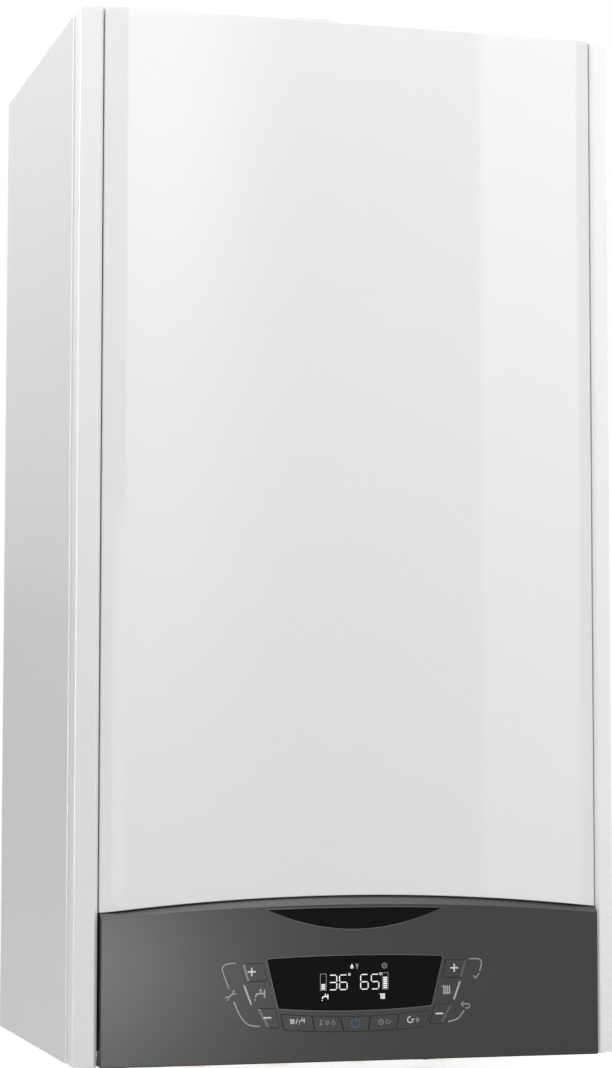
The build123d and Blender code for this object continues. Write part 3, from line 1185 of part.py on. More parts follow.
def safety_valve():
    """Three-bar relief valve on the side of the flow block, with its outlet down through the base."""
    outlet, tip = (RELIEF_OUTLET_X, STUB_Y, RELIEF_Z), (RELIEF_OUTLET_X, STUB_Y, RELIEF_OUTLET_Z)
    valve = rod((-BLOCK_X[1], STUB_Y, RELIEF_Z), (RELIEF_END_X, STUB_Y, RELIEF_Z), RELIEF_R)
    valve += rod(outlet, tip, RELIEF_OUTLET_R - SPIGOT_STEP)
    valve += rod((RELIEF_OUTLET_X, STUB_Y, SPIGOT_TOP), tip, RELIEF_OUTLET_R)
    valve -= rod((RELIEF_OUTLET_X, STUB_Y, RELIEF_Z - 6), tip, RELIEF_OUTLET_R - RELIEF_OUTLET_WALL)
    seat = (RELIEF_END_X, STUB_Y, RELIEF_Z)
    return valve - rod(seat, (RELIEF_END_X + 8, STUB_Y, RELIEF_Z), RELIEF_SPINDLE_R + SHAFT_SLACK)


def safety_valve_knob():
    start = RELIEF_END_X - 0.3
    knob = rod((start, STUB_Y, RELIEF_Z), (RELIEF_KNOB_END, STUB_Y, RELIEF_Z), RELIEF_KNOB_R)
    for i in range(RELIEF_KNOB_FLUTES):
        turn = math.radians(360 * i / RELIEF_KNOB_FLUTES)
        y = STUB_Y + RELIEF_KNOB_R * math.cos(turn)
        z = RELIEF_Z + RELIEF_KNOB_R * math.sin(turn)
        knob -= rod((RELIEF_END_X - 5, y, z), (RELIEF_KNOB_END, y, z), 2.5)
    return knob + rod((start, STUB_Y, RELIEF_Z), (RELIEF_END_X + 7, STUB_Y, RELIEF_Z), RELIEF_SPINDLE_R)


def flow_turbine():
    low, high = TURBINE_Z
    guide_end = TURBINE_ROOF + TURBINE_PIN_LENGTH - 3
    hub = 3.0
    wheel = rod((STUB_PITCH, STUB_Y, low), (STUB_PITCH, STUB_Y, high), hub)
    wheel += rod((STUB_PITCH, STUB_Y, low - 4), (STUB_PITCH, STUB_Y, guide_end), TURBINE_PIN_R)
    tip = TURBINE_BORE - 1.2
    blade = Pos((hub - 1 + tip) / 2, 0, 0) * Rot(35, 0, 0) * Box(tip - hub + 1, TURBINE_PIN_R, high - low - 2)
    for i in range(TURBINE_BLADES):
        wheel += Pos(STUB_PITCH, STUB_Y, (low + high) / 2) * Rot(0, 0, 360 * i / TURBINE_BLADES) * blade
    return wheel


def fill_valve_knob():
    low, high = FILL_KNOB_Z
    knob = rod((FILL_X, FILL_Y, low), (FILL_X, FILL_Y, high), FILL_KNOB_R)
    for i in range(FILL_KNOB_FLUTES):
        turn = math.radians(360 * i / FILL_KNOB_FLUTES)
        x = FILL_X + (FILL_KNOB_R + 1) * math.cos(turn)
        y = FILL_Y + (FILL_KNOB_R + 1) * math.sin(turn)
        knob -= rod((x, y, low), (x, y, high - 2), 2.6)
    return knob + rod((FILL_X, FILL_Y, high), (FILL_X, FILL_Y, FILL_SPINDLE_TOP), FILL_SPINDLE_R)


def pressure_gauge():
    """Round case in the base, its dial facing down."""
    low, high = BOTTOM - GAUGE_FLANGE, BOTTOM + GAUGE_DEPTH
    case = rod((GAUGE_X, GAUGE_Y, BOTTOM), (GAUGE_X, GAUGE_Y, high), GAUGE_R)
    case += rod((GAUGE_X, GAUGE_Y, low), (GAUGE_X, GAUGE_Y, BOTTOM), GAUGE_FLANGE_R)
    case += rod((GAUGE_X, GAUGE_Y, high), (GAUGE_X, GAUGE_Y, high + 12), 5)
    case -= rod((GAUGE_X, GAUGE_Y, low), (GAUGE_X, GAUGE_Y, GAUGE_DIAL_Z), GAUGE_R - 2)
    dial = (GAUGE_X, GAUGE_Y, GAUGE_DIAL_Z)
    return case - rod(dial, (GAUGE_X, GAUGE_Y, GAUGE_DIAL_Z + 6), GAUGE_PIN_R + STEM_SLACK)


def gauge_needle():
    low, high = NEEDLE_Z
    tip = GAUGE_R - 5
    needle = upright(polygon([(-5, -1.2), (tip, -0.3), (tip, 0.3), (-5, 1.2)]), (low, high))
    needle = Pos(GAUGE_X, GAUGE_Y, 0) * Rot(0, 0, NEEDLE_REST) * needle
    needle += rod((GAUGE_X, GAUGE_Y, low), (GAUGE_X, GAUGE_Y, high), 2.4)
    return needle + rod((GAUGE_X, GAUGE_Y, high), (GAUGE_X, GAUGE_Y, GAUGE_DIAL_Z + 5), GAUGE_PIN_R)


# ---------------------------------------------------------------- pipes and base fittings
def condensate_trap():
    low, high = TRAP_Z
    trap = rod((TRAP_X, TRAP_Y, low + 14), (TRAP_X, TRAP_Y, high - 8), TRAP_R)
    trap += rod((TRAP_X, TRAP_Y, high - 14), (TRAP_X, TRAP_Y, high - 6), TRAP_R + 3)
    trap += rod((TRAP_X, TRAP_Y, low), (TRAP_X, TRAP_Y, low + 14), TRAP_R - 8)
    trap += rod((TRAP_X, TRAP_Y, high - 8), (TRAP_X, TRAP_Y, high), PORT_R)
    return trap - rod((TRAP_X, TRAP_Y, low + 18), (TRAP_X, TRAP_Y, high - 16), TRAP_R - 2)


def condensate_tubes():
    fall = (DRAIN_END_Z - TRAP_Z[1]) / 4
    route = [
        (EX_X, PORT_Y, DRAIN_END_Z),
        (EX_X, PORT_Y, DRAIN_END_Z - 1.1 * fall),
        (EX_X - fall, TRAP_Y, DRAIN_END_Z - 2.2 * fall),
        (TRAP_X, TRAP_Y, TRAP_Z[1] + 0.9 * fall),
        (TRAP_X, TRAP_Y, TRAP_Z[1]),
    ]
    inlet = pipe(route, HOSE_BEND, HOSE_R, HOSE_WALL)
    tip = (TRAP_X, TRAP_Y, DRAIN_LOW)
    outlet = rod((TRAP_X, TRAP_Y, TRAP_Z[0]), tip, DRAIN_R - SPIGOT_STEP)
    outlet += rod((TRAP_X, TRAP_Y, SPIGOT_TOP), tip, DRAIN_R)
    outlet -= rod((TRAP_X, TRAP_Y, TRAP_Z[0]), tip, DRAIN_R - DRAIN_WALL)
    return Compound([inlet, outlet])


def heating_pipes():
    low = BLOCK_Z[1]
    flow_x, flow_end = EX_X - PORT_OFFSET, -BLOCK_X[0] - 27
    back_x = EX_X + PORT_OFFSET
    flow = [
        (flow_x, PORT_Y, PORT_END_Z),
        (flow_x, PORT_Y, low + 150),
        (flow_end, STUB_Y, low + 70),
        (flow_end, STUB_Y, low),
    ]
    rise = (PORT_END_Z - PUMP_PORT_TOP) / 8
    back = [
        (PUMP_X, PUMP_PORT_Y, PUMP_PORT_TOP),
        (PUMP_X, PUMP_PORT_Y, PUMP_PORT_TOP + rise),
        (back_x + 20, PORT_Y + 15, PUMP_PORT_TOP + 3.2 * rise),
        (back_x, PORT_Y, PUMP_PORT_TOP + 5.2 * rise),
        (back_x, PORT_Y, PORT_END_Z),
    ]
    return Compound([pipe(flow, WATER_BEND, PIPE_R), pipe(back, WATER_BEND, PIPE_R)])


def pipe_stubs():
    """Five threaded pipe ends with their hexagons, below the base."""
    solids = []
    for x, radius in stub_places():
        thread_top = STUB_LOW + STUB_THREAD
        stub = rod((x, STUB_Y, STUB_LOW), (x, STUB_Y, thread_top), radius)
        stub = chamfer(stub.edges().group_by(Axis.Z)[0], 1)
        stub += rod((x, STUB_Y, thread_top), (x, STUB_Y, STUB_TOP), radius - 1)
        seat = Plane(origin=(x, STUB_Y, thread_top), z_dir=(0, 0, 1))
        stub += extrude(seat * RegularPolygon(radius + 4.5, 6), STUB_NUT)
        solids.append(stub - rod((x, STUB_Y, STUB_LOW), (x, STUB_Y, STUB_TOP), radius - STUB_WALL))
    return Compound(solids)


def cable_glands():
    glands = []
    for y in GLAND_Y:
        low = BOTTOM - GLAND_FLANGE
        gland = rod((GLAND_X, y, low), (GLAND_X, y, BOTTOM), GLAND_R + 3)
        gland += rod((GLAND_X, y, BOTTOM), (GLAND_X, y, BOTTOM + GLAND_RISE), GLAND_R)
        glands.append(gland - rod((GLAND_X, y, low), (GLAND_X, y, BOTTOM + GLAND_RISE), GLAND_BORE))
    return Compound(glands)


PARTS = [
    wall_bracket,
    back_sheet,
    frame_rails,
    right_side_panel,
    right_corner_trim,
    top_panel,
    bottom_plate,
    front_panel,
    control_fascia,
    badge_inlay,
    display_lens,
    control_box,
    control_board,
    hinge_pins,
    flue_adapter,
    intake_caps,
    flue_pipe,
    hex_screws,
    exchanger_body,
    exchanger_coil,
    burner_door,
    burner_tube,
    electrodes,
    fan_housing,
    fan_motor,
    fan_impeller,
    gas_valve,
    gas_pipe,
    air_silencer,
    expansion_vessel,
    return_block,
    flow_block,
    diverter_motor,
    diverter_stem,
    plate_exchanger,
    pump_motor,
    pump_impeller,
    air_vent,
    safety_valve,
    safety_valve_knob,
    flow_turbine,
    fill_valve_knob,
    pressure_gauge,
    gauge_needle,
    condensate_trap,
    condensate_tubes,
    heating_pipes,
    pipe_stubs,
    cable_glands,
]


def main():
    os.makedirs("parts", exist_ok=True)
    shapes = {make.__name__: make() for make in PARTS}
    for name in ("right_side_panel", "right_corner_trim"):
        shapes[name.replace("right", "left")] = left_of(shapes[name])
    for name, points in key_outlines().items():
        shapes[name] = key(points)
    for name, shape in shapes.items():
        export_step(shape, f"parts/{name}.step")


main()
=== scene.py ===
"""Looks of a wall-hung combi boiler: casing, control panel, symbols, fittings and studio light."""

import json
import math

import bmesh
import bpy
from mathutils import Matrix, Vector
from mathutils.geometry import tessellate_polygon

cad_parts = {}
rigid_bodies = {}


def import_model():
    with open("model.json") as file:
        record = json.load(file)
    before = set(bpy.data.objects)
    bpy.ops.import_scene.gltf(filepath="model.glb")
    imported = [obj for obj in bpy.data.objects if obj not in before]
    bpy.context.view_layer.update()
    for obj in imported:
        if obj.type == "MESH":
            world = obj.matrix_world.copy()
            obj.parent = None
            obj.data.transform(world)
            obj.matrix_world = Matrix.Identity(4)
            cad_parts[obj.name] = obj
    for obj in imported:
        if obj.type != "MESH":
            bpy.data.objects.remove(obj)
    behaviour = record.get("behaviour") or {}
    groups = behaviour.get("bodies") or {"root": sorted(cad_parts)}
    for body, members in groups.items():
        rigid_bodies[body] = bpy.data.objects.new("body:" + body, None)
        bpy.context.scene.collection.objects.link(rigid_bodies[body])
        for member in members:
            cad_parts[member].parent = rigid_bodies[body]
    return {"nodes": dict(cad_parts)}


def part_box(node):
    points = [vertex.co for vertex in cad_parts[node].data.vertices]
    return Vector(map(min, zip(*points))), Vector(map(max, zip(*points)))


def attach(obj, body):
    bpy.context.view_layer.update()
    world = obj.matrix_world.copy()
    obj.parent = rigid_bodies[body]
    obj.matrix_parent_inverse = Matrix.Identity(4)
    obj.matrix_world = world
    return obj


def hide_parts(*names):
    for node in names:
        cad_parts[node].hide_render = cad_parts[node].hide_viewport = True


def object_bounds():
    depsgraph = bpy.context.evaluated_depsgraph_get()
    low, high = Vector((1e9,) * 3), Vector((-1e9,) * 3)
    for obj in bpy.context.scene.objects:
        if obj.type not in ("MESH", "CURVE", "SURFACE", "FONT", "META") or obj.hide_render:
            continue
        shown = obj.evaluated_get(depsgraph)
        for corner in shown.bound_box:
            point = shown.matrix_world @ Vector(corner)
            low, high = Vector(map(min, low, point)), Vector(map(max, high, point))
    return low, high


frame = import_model()
cad_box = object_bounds()

MM = 0.001
IMAGE_HEIGHT = 1068  # of the photo, in pixels

# ---- places taken from the frame, in mm
def node_box(name):
    low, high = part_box(name)
    return low / MM, high / MM


TRIM_LOW, TRIM_HIGH = node_box("right_corner_trim")
PANEL_LOW, PANEL_HIGH = node_box("front_panel")
TOP, BOTTOM, HALF = TRIM_HIGH.z, TRIM_LOW.z, TRIM_HIGH.x
PANEL_Y = PANEL_LOW.y
FASCIA_Y = round(node_box("control_fascia")[0].y, 2)


# ---- materials
def feed(tree, node, inputs):
    """Sets inputs of a node to numbers or colours, or links them to the sockets that feed them."""
    for key, value in inputs.items():
        if isinstance(value, bpy.types.NodeSocket):
            tree.links.new(value, node.inputs[key])
        else:
            node.inputs[key].default_value = value


def make_node(tree, kind, inputs=None, **settings):
    made = tree.nodes.new("ShaderNode" + kind)
    for key, value in settings.items():
        setattr(made, key, value)
    feed(tree, made, inputs or {})
    return made


def calc(tree, operation, *values):
    return make_node(tree, "Math", dict(enumerate(values)), operation=operation).outputs[0]


def rgba(colour):
    return (*colour, 1.0)


def scaled(colour, factor):
    return tuple(min(1.0, channel * factor) for channel in colour)


def place_socket(tree, stretch=(1, 1, 1)):
    """Position in mm on the object, squeezed along each axis by a factor."""
    coords = make_node(tree, "TexCoord")
    scale = tuple(factor / MM for factor in stretch)
    return make_node(tree, "Mapping", {"Vector": coords.outputs["Object"], "Scale": scale}).outputs[0]


def noise(tree, place, size, detail=2.0):
    inputs = {"Vector": place, "Scale": 1.0 / size, "Detail": detail, "Roughness": 0.5}
    return make_node(tree, "TexNoise", inputs).outputs["Fac"]


def ramp(tree, value, low, high, out_low, out_high):
    inputs = {"Value": value, "From Min": low, "From Max": high, "To Min": out_low, "To Max": out_high}
    return make_node(tree, "MapRange", inputs).outputs[0]


def mixed(tree, factor, first, second):
    return make_node(tree, "Mix", {0: factor, 6: rgba(first), 7: rgba(second)}, data_type="RGBA").outputs[2]


def reshade(material, inputs):
    tree = material.node_tree
    feed(tree, tree.nodes["Principled BSDF"], inputs)
    return material


def surface(colour, rough, patch, grain, metal=0.0, coat=0.0, coat_rough=0.05, stretch=(1, 1, 1),
            rough_spread=0.05, specular=0.5, second=None):
    """Finish with broad colour patches and a fine grain. It gets its name afterwards.

    patch is the size in mm and the depth of the colour change, grain the size and the height in mm.
    """
    material = bpy.data.materials.new("finish")
    material.use_nodes = True
    tree = material.node_tree
    place = place_socket(tree, stretch)
    (size, depth), (grain_size, height) = patch, grain
    broad = ramp(tree, noise(tree, place, size, 3.0), 0.3, 0.7, 0.0, 1.0)
    fine = noise(tree, place, grain_size)
    bump = make_node(tree, "Bump", {"Height": fine, "Distance": height * MM, "Strength": 1.0})
    return reshade(material, {
        "Base Color": mixed(tree, broad, scaled(colour, 1 - depth), second or scaled(colour, 1 + depth)),
        "Roughness": ramp(tree, fine, 0.3, 0.7, max(0.02, rough - rough_spread), rough + rough_spread),
        "Normal": bump.outputs[0], "Metallic": metal, "Specular IOR Level": specular, "Coat Weight": coat,
        "Coat Roughness": coat_rough})


def galvanised(colour):
    """Zinc coat with faint crystals."""
    material = surface(colour, 0.38, (60.0, 0.05), (1.2, 0.006), metal=1.0, rough_spread=0.08)
    tree = material.node_tree
    cells = make_node(tree, "TexVoronoi", {"Vector": place_socket(tree), "Scale": 1 / 9.0})
    amount = make_node(tree, "SeparateColor", {"Color": cells.outputs["Color"]}).outputs[0]
    return reshade(material, {"Base Color": mixed(tree, amount, scaled(colour, 0.86), scaled(colour, 1.12)),
                              "Roughness": ramp(tree, amount, 0, 1, 0.28, 0.46)})


def glowing(colour, strength):
    material = surface(colour, 0.4, (3.0, 0.03), (0.5, 0.001))
    return reshade(material, {"Emission Color": rgba(colour), "Emission Strength": strength})


def ink(colour):
    return surface(colour, 0.5, (6, 0.03), (0.3, 0.0005))


def grey(level):
    return (level, level, level)


EVEN = {"rough_spread": 0.02}
MATERIALS = {
    "white_enamel": surface(grey(0.84), 0.3, (180, 0.006), (1.6, 0.0012), coat=1.0, coat_rough=0.03,
                            specular=0.35, **EVEN),
    "white_side": surface(grey(0.8), 0.42, (180, 0.006), (1.4, 0.004), coat=0.12, coat_rough=0.15,
                          specular=0.3, **EVEN),
    "white_trim": surface(grey(0.9), 0.4, (90, 0.008), (1.0, 0.001), coat=0.15, coat_rough=0.15,
                          specular=0.3, **EVEN),
    # white for rounded edges: its lighter colour is a painted highlight, its glossier coat is real gloss
    "white_edge": surface(grey(0.96), 0.2, (90, 0.005), (1.0, 0.0005), coat=1.0, coat_rough=0.04, **EVEN),
    "galvanised_steel": galvanised((0.56, 0.57, 0.58)),
    "fascia_grey": surface((0.0362, 0.0362, 0.0364), 0.34, (60, 0.03), (0.35, 0.002), metal=0.85, **EVEN),
    # lighter copy of fascia_grey: painted highlight on the fascia's upward shoulder and round the windows
    "shoulder_grey": surface((0.088, 0.088, 0.0885), 0.36, (60, 0.03), (0.35, 0.002), metal=0.85, **EVEN),
    "badge_black": surface((0.0035, 0.0035, 0.004), 0.14, (20, 0.05), (0.8, 0.0004), specular=0.06, **EVEN),
    "display_black": surface((0.0032, 0.0034, 0.0038), 0.08, (30, 0.05), (2.0, 0.0003), specular=0.05,
                             **EVEN),
    "bevel_grey": surface((0.08, 0.08, 0.082), 0.4, (12, 0.03), (0.3, 0.002), metal=0.6, **EVEN),
    "key_grey": surface((0.035, 0.035, 0.0352), 0.4, (12, 0.03), (0.3, 0.002), metal=0.85, **EVEN),
    "box_black": surface((0.02, 0.02, 0.021), 0.5, (30, 0.06), (0.5, 0.008)),
    "board_green": surface((0.006, 0.07, 0.03), 0.35, (8, 0.12), (0.9, 0.004), coat=0.3),
    "cast_aluminium": surface((0.5, 0.51, 0.52), 0.5, (14, 0.07), (0.9, 0.03), metal=1.0, rough_spread=0.1),
    "stainless_steel": surface((0.58, 0.58, 0.57), 0.26, (40, 0.05), (0.5, 0.004), metal=1.0,
                               stretch=(1, 1, 0.05), rough_spread=0.08),
    "bright_zinc": surface((0.62, 0.62, 0.6), 0.22, (4, 0.08), (0.6, 0.002), metal=1.0),
    "ceramic_white": surface((0.78, 0.77, 0.72), 0.3, (5, 0.03), (0.5, 0.003), coat=0.4),
    "motor_black": surface((0.012, 0.012, 0.013), 0.45, (20, 0.08), (0.6, 0.006)),
    "wheel_grey": surface((0.42, 0.43, 0.44), 0.35, (10, 0.06), (0.5, 0.003), metal=1.0),
    "copper": surface((0.62, 0.27, 0.14), 0.28, (25, 0.14), (0.8, 0.004), metal=1.0,
                      second=(0.72, 0.36, 0.21), rough_spread=0.1),
    "plain_brass": surface((0.62, 0.44, 0.17), 0.26, (10, 0.1), (0.5, 0.003), metal=1.0),
    "vessel_red": surface((0.33, 0.018, 0.014), 0.34, (50, 0.06), (1.5, 0.008), coat=0.4, coat_rough=0.2),
    "block_black": surface((0.022, 0.022, 0.024), 0.52, (16, 0.1), (0.5, 0.012), rough_spread=0.08),
    "silencer_grey": surface((0.12, 0.12, 0.128), 0.5, (30, 0.05), (0.6, 0.01)),
    "knob_blue": surface((0.012, 0.06, 0.32), 0.34, (9, 0.06), (0.4, 0.003), coat=0.2),
    "knob_red": surface((0.42, 0.018, 0.014), 0.34, (9, 0.06), (0.4, 0.003), coat=0.2),
    "dial_green": ink((0.03, 0.3, 0.08)),
    "dial_red": ink((0.5, 0.02, 0.015)),
    "needle_black": surface(grey(0.01), 0.5, (5, 0.05), (0.3, 0.001)),
    "trap_white": surface((0.62, 0.62, 0.6), 0.38, (30, 0.04), (0.8, 0.004), coat=0.15),
    "gland_rubber": surface(grey(0.016), 0.62, (8, 0.1), (0.4, 0.01)),
    "print_white": ink(grey(0.72)),
    "print_pale": ink(grey(0.42)),
    "print_grey": ink(grey(0.3)),
    "print_blue": glowing((0.018, 0.06, 0.14), 0.3),
    "display_glow": glowing((0.62, 0.63, 0.64), 0.75),
    "display_dim": glowing((0.2, 0.2, 0.205), 0.75),
    "cap_white": surface((0.72, 0.72, 0.7), 0.42, (30, 0.03), (0.8, 0.006)),
}
for name, finish in MATERIALS.items():
    finish.name = name

NODE_MATERIALS = {
    "galvanised_steel": ("wall_bracket", "back_sheet", "frame_rails", "bottom_plate"),
    "white_side": ("left_side_panel", "right_side_panel"),
    "white_trim": ("left_corner_trim", "right_corner_trim"),
    "white_enamel": ("front_panel", "top_panel"),
    "fascia_grey": ("control_fascia",),
    "badge_black": ("badge_inlay",),
    "display_black": ("display_lens",),
    "box_black": ("control_box",),
    "board_green": ("control_board",),
    "bright_zinc": ("hinge_pins", "hex_screws"),
    "cap_white": ("intake_caps", "flue_adapter"),
    "stainless_steel": ("exchanger_body", "exchanger_coil", "burner_tube", "plate_exchanger",
                        "diverter_stem"),
    "cast_aluminium": ("burner_door", "fan_housing", "gas_valve"),
    "ceramic_white": ("electrodes",),
    "motor_black": ("fan_motor", "pump_motor", "diverter_motor", "pressure_gauge"),
    "wheel_grey": ("fan_impeller", "pump_impeller"),
    "copper": ("gas_pipe", "heating_pipes"),
    "silencer_grey": ("air_silencer", "flue_pipe"),
    "vessel_red": ("expansion_vessel",),
    "block_black": ("return_block", "flow_block"),
    "plain_brass": ("air_vent", "safety_valve", "pipe_stubs"),
    "knob_red": ("safety_valve_knob",),
    "knob_blue": ("fill_valve_knob",),
    "needle_black": ("gauge_needle",),
    "trap_white": ("condensate_trap", "condensate_tubes", "flow_turbine"),
    "gland_rubber": ("cable_glands",),
}


def dress_nodes():
    for finish, names in NODE_MATERIALS.items():
        for name in names:
            mesh = frame["nodes"][name].data
            mesh.materials.clear()
            mesh.materials.append(MATERIALS[finish])
    for name, thing in frame["nodes"].items():
        if name.startswith("key_"):
            thing.data.materials.clear()
            thing.data.materials.append(MATERIALS["key_grey"])


# ---- mesh helpers, with lengths in mm
ROUND_STEPS = 5
SHARP_ANGLE = 32
WELD, ROD_EDGE_R = 0.0004, 0.2
UP, FORWARDS, BACKWARDS = (0, 0, 1), (0, -1, 0), (0, 1, 0)


def new_object(name, data):
    made = bpy.data.objects.new(name, data)
    bpy.context.scene.collection.objects.link(made)
    return made


def add_piece(name, shape, finish, body, slot=None, replaces=(), sharp=SHARP_ANGLE, sheet=0.0):
    """Turns a bmesh drawn in mm into an object that rides on a body."""
    bmesh.ops.remove_doubles(shape, verts=shape.verts, dist=WELD)
    bmesh.ops.recalc_face_normals(shape, faces=shape.faces)
    bmesh.ops.scale(shape, vec=(MM, MM, MM), verts=shape.verts)
    mesh = bpy.data.meshes.new(name)
    shape.to_mesh(mesh)
    shape.free()
    mesh.shade_smooth()
    mesh.set_sharp_from_angle(angle=math.radians(sharp))
    mesh.materials.append(MATERIALS[finish])
    piece = new_object(name, mesh)
    if sheet:
        wall = piece.modifiers.new("sheet", "SOLIDIFY")
        wall.thickness, wall.offset = sheet * MM, -1
    weighted = piece.modifiers.new("normals", "WEIGHTED_NORMAL")
    weighted.keep_sharp = True
    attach(piece, body)
    if replaces:
        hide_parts(*replaces)
    return piece


def add_loops(shape, loops, closed=True):
    """Joins rows of points, each with the same count, into strips of faces."""
    rows = [[shape.verts.new(point) for point in loop] for loop in loops]
    count = len(rows[0])
    for low, high in zip(rows, rows[1:]):
        for i in range(count if closed else count - 1):
            j = (i + 1) % count
            shape.faces.new((low[i], low[j], high[j], high[i]))
    return rows


def add_tube(shape, loops):
    """Strips of faces with a flat cap at each end."""
    rows = add_loops(shape, loops)
    shape.faces.new(rows[0])
    shape.faces.new(rows[-1])


def spread(low, high, count):
    return [low + (high - low) * i / (count - 1) for i in range(count)]


def polar(centre, radius, turn):
    return (centre[0] + radius * math.cos(turn), centre[1] + radius * math.sin(turn))


def arc_radius(half, rise):
    return (half**2 + rise**2) / (2 * rise)


def arc_height(x, apex, radius):
    """Height of an arc that is highest in the middle, or lowest there if the radius is below zero."""
    return apex - radius + math.copysign(math.sqrt(radius**2 - x**2), radius)


def anticlockwise(points):
    area = sum(x0 * z1 - x1 * z0 for (x0, z0), (x1, z1) in zip(points, points[1:] + points[:1]))
    return list(points) if area > 0 else list(reversed(points))


def inset(points, distance):
    """Moves each edge of a closed anticlockwise outline inwards."""
    count = len(points)
    normals = []
    for i, (x, z) in enumerate(points):
        x1, z1 = points[(i + 1) % count]
        length = math.hypot(x1 - x, z1 - z)
        normals.append(((z - z1) / length, (x1 - x) / length))
    moved = []
    for i, (x, z) in enumerate(points):
        (ax, az), (bx, bz) = normals[i - 1], normals[i]
        share = distance / (1 + ax * bx + az * bz)
        moved.append((x + (ax + bx) * share, z + (az + bz) * share))
    return moved


def arc_at(before, corner, after, radius, steps=7):
    """Points of the arc that rounds one corner."""
    corner = Vector(corner)
    back, ahead = (Vector(before) - corner).normalized(), (Vector(after) - corner).normalized()
    half = back.angle(ahead) / 2
    centre = corner + (back + ahead).normalized() * radius / math.sin(half)
    start = corner + back * radius / math.tan(half) - centre
    end = corner + ahead * radius / math.tan(half) - centre
    first = math.atan2(start.y, start.x)
    turn = (math.atan2(end.y, end.x) - first + math.pi) % (2 * math.pi) - math.pi
    return [polar(centre, radius, angle) for angle in spread(first, first + turn, steps)]


def rounded(points, radius):
    """Replaces each corner of an outline by an arc, anticlockwise."""
    points = anticlockwise(points)
    made = []
    for i, spot in enumerate(points):
        made += arc_at(points[i - 1], spot, points[(i + 1) % len(points)], radius, ROUND_STEPS + 1)
    return made


def quarter_round(radius, steps=4):
    """(inset, depth) of a quarter round, from the front face to the side wall."""
    turns = spread(0, math.pi / 2, steps + 1)
    return [(radius * (1 - math.sin(turn)), radius * (1 - math.cos(turn))) for turn in turns]


def upright_loop(points, y):
    return [(x, y, z) for x, z in points]


def level_loop(points, z):
    return [(x, y, z) for x, y in points]


def rectangle(left, right, low, high):
    return [(left, low), (right, low), (right, high), (left, high)]


def edge_loops(outline, front, edge, inwards=1):
    """Loops of a plate's rounded front edge, or of a hole's if inwards is -1."""
    return [upright_loop(inset(outline, inwards * side), front + depth)
            for side, depth in quarter_round(edge)]


def add_slab(shape, outline, front, rear, edge):
    """Plate that faces the front, with a rounded front edge."""
    outline = anticlockwise(outline)
    add_tube(shape, edge_loops(outline, front, edge) + [upright_loop(outline, rear)])


def ring(centre, axis, radius, sides=48):
    axis = Vector(axis).normalized()
    across = axis.orthogonal().normalized()
    other = axis.cross(across)
    turns = [2 * math.pi * i / sides for i in range(sides)]
    return [Vector(centre) + radius * (math.cos(turn) * across + math.sin(turn) * other) for turn in turns]


def add_turned(shape, start, axis, profile, sides=48, closed=False):
    """Round form made from (distance along the axis, radius) pairs."""
    axis = Vector(axis).normalized()
    loops = [ring(Vector(start) + axis * along, axis, radius, sides) for along, radius in profile]
    if closed:
        add_loops(shape, loops + loops[:1])
    else:
        add_tube(shape, loops)


def add_ring(shape, start, axis, radius, profile, sides=72):
    """Closed ring made from (distance along the axis, distance outside the radius) pairs."""
    add_turned(shape, start, axis, [(along, radius + out) for along, out in profile], sides, closed=True)


def polar_loop(centre, z, reach_at, sides=72):
    """Level loop round an upright axis, with its reach as a function of the turn."""
    turns = [2 * math.pi * i / sides for i in range(sides)]
    return [(*polar(centre, reach_at(turn), turn), z) for turn in turns]


def add_rod(shape, start, end, radius):
    way = Vector(end) - Vector(start)
    ends = [(depth, radius - side) for side, depth in quarter_round(ROD_EDGE_R)]
    ends += [(way.length - along, reach) for along, reach in reversed(ends)]
    add_turned(shape, start, way, ends, 32)


PRINT_PROUD, PRINT_DEPTH = 0.02, 0.06


def add_print(shape, left, right, y, closed):
    """Thin flat bar between two rows of (x, z) points, standing just proud of a surface at y."""
    front, rear = y - PRINT_PROUD, y - PRINT_PROUD + PRINT_DEPTH
    loops = [upright_loop(left, front), upright_loop(right, front), upright_loop(right, rear),
             upright_loop(left, rear)]
    rows = add_loops(shape, loops + loops[:1], closed)
    if not closed:
        for end in (0, -1):
            shape.faces.new([row[end] for row in rows[:4]])


def add_line(shape, points, width, y, closed=False):
    """Printed line of a given width through (x, z) points."""
    spots = [Vector(point) for point in points]
    count = len(spots)
    left, right = [], []
    for i, spot in enumerate(spots):
        ways = []
        if closed or i > 0:
            ways.append((spot - spots[i - 1]).normalized())
        if closed or i < count - 1:
            ways.append((spots[(i + 1) % count] - spot).normalized())
        way = (ways[0] + ways[-1]).normalized()
        side = Vector((-way.y, way.x)) * width / 2 / max(0.5, way.dot(ways[0]))
        left.append(tuple(spot + side))
        right.append(tuple(spot - side))
    add_print(shape, left, right, y, closed)


def smooth(points, steps=8):
    """Points of a smooth curve through the given ones."""
    spots = [Vector(point) for point in points]
    spots = [2 * spots[0] - spots[1]] + spots + [2 * spots[-1] - spots[-2]]
    made = []
    for p0, p1, p2, p3 in zip(spots, spots[1:], spots[2:], spots[3:]):
        for t in spread(0, 1, steps + 1)[:-1]:
            made.append(tuple(0.5 * (2 * p1 + (p2 - p0) * t + (2 * p0 - 5 * p1 + 4 * p2 - p3) * t**2
                                     + (3 * p1 - p0 - 3 * p2 + p3) * t**3)))
    return made + [tuple(spots[-2])]


def circle(centre, radius, sides=24, first=0.0, last=360.0):
    """(x, z) points of an arc, in degrees anticlockwise from the right."""
    turns = spread(math.radians(first), math.radians(last), sides + 1)
    points = [polar(centre, radius, turn) for turn in turns]
    return points[:-1] if last - first >= 360 else points


def add_dot(shape, centre, radius, y):
    outer = circle(centre, radius, 16)
    add_print(shape, outer, [centre] * len(outer), y, True)


def add_shape(name, finish, draws, body="casing", **options):
    """Piece made by drawing functions, each with the values that it takes after the shape."""
    shape = bmesh.new()
    for draw, *values in draws:
        draw(shape, *values)
    return add_piece(name, shape, finish, body, **options)


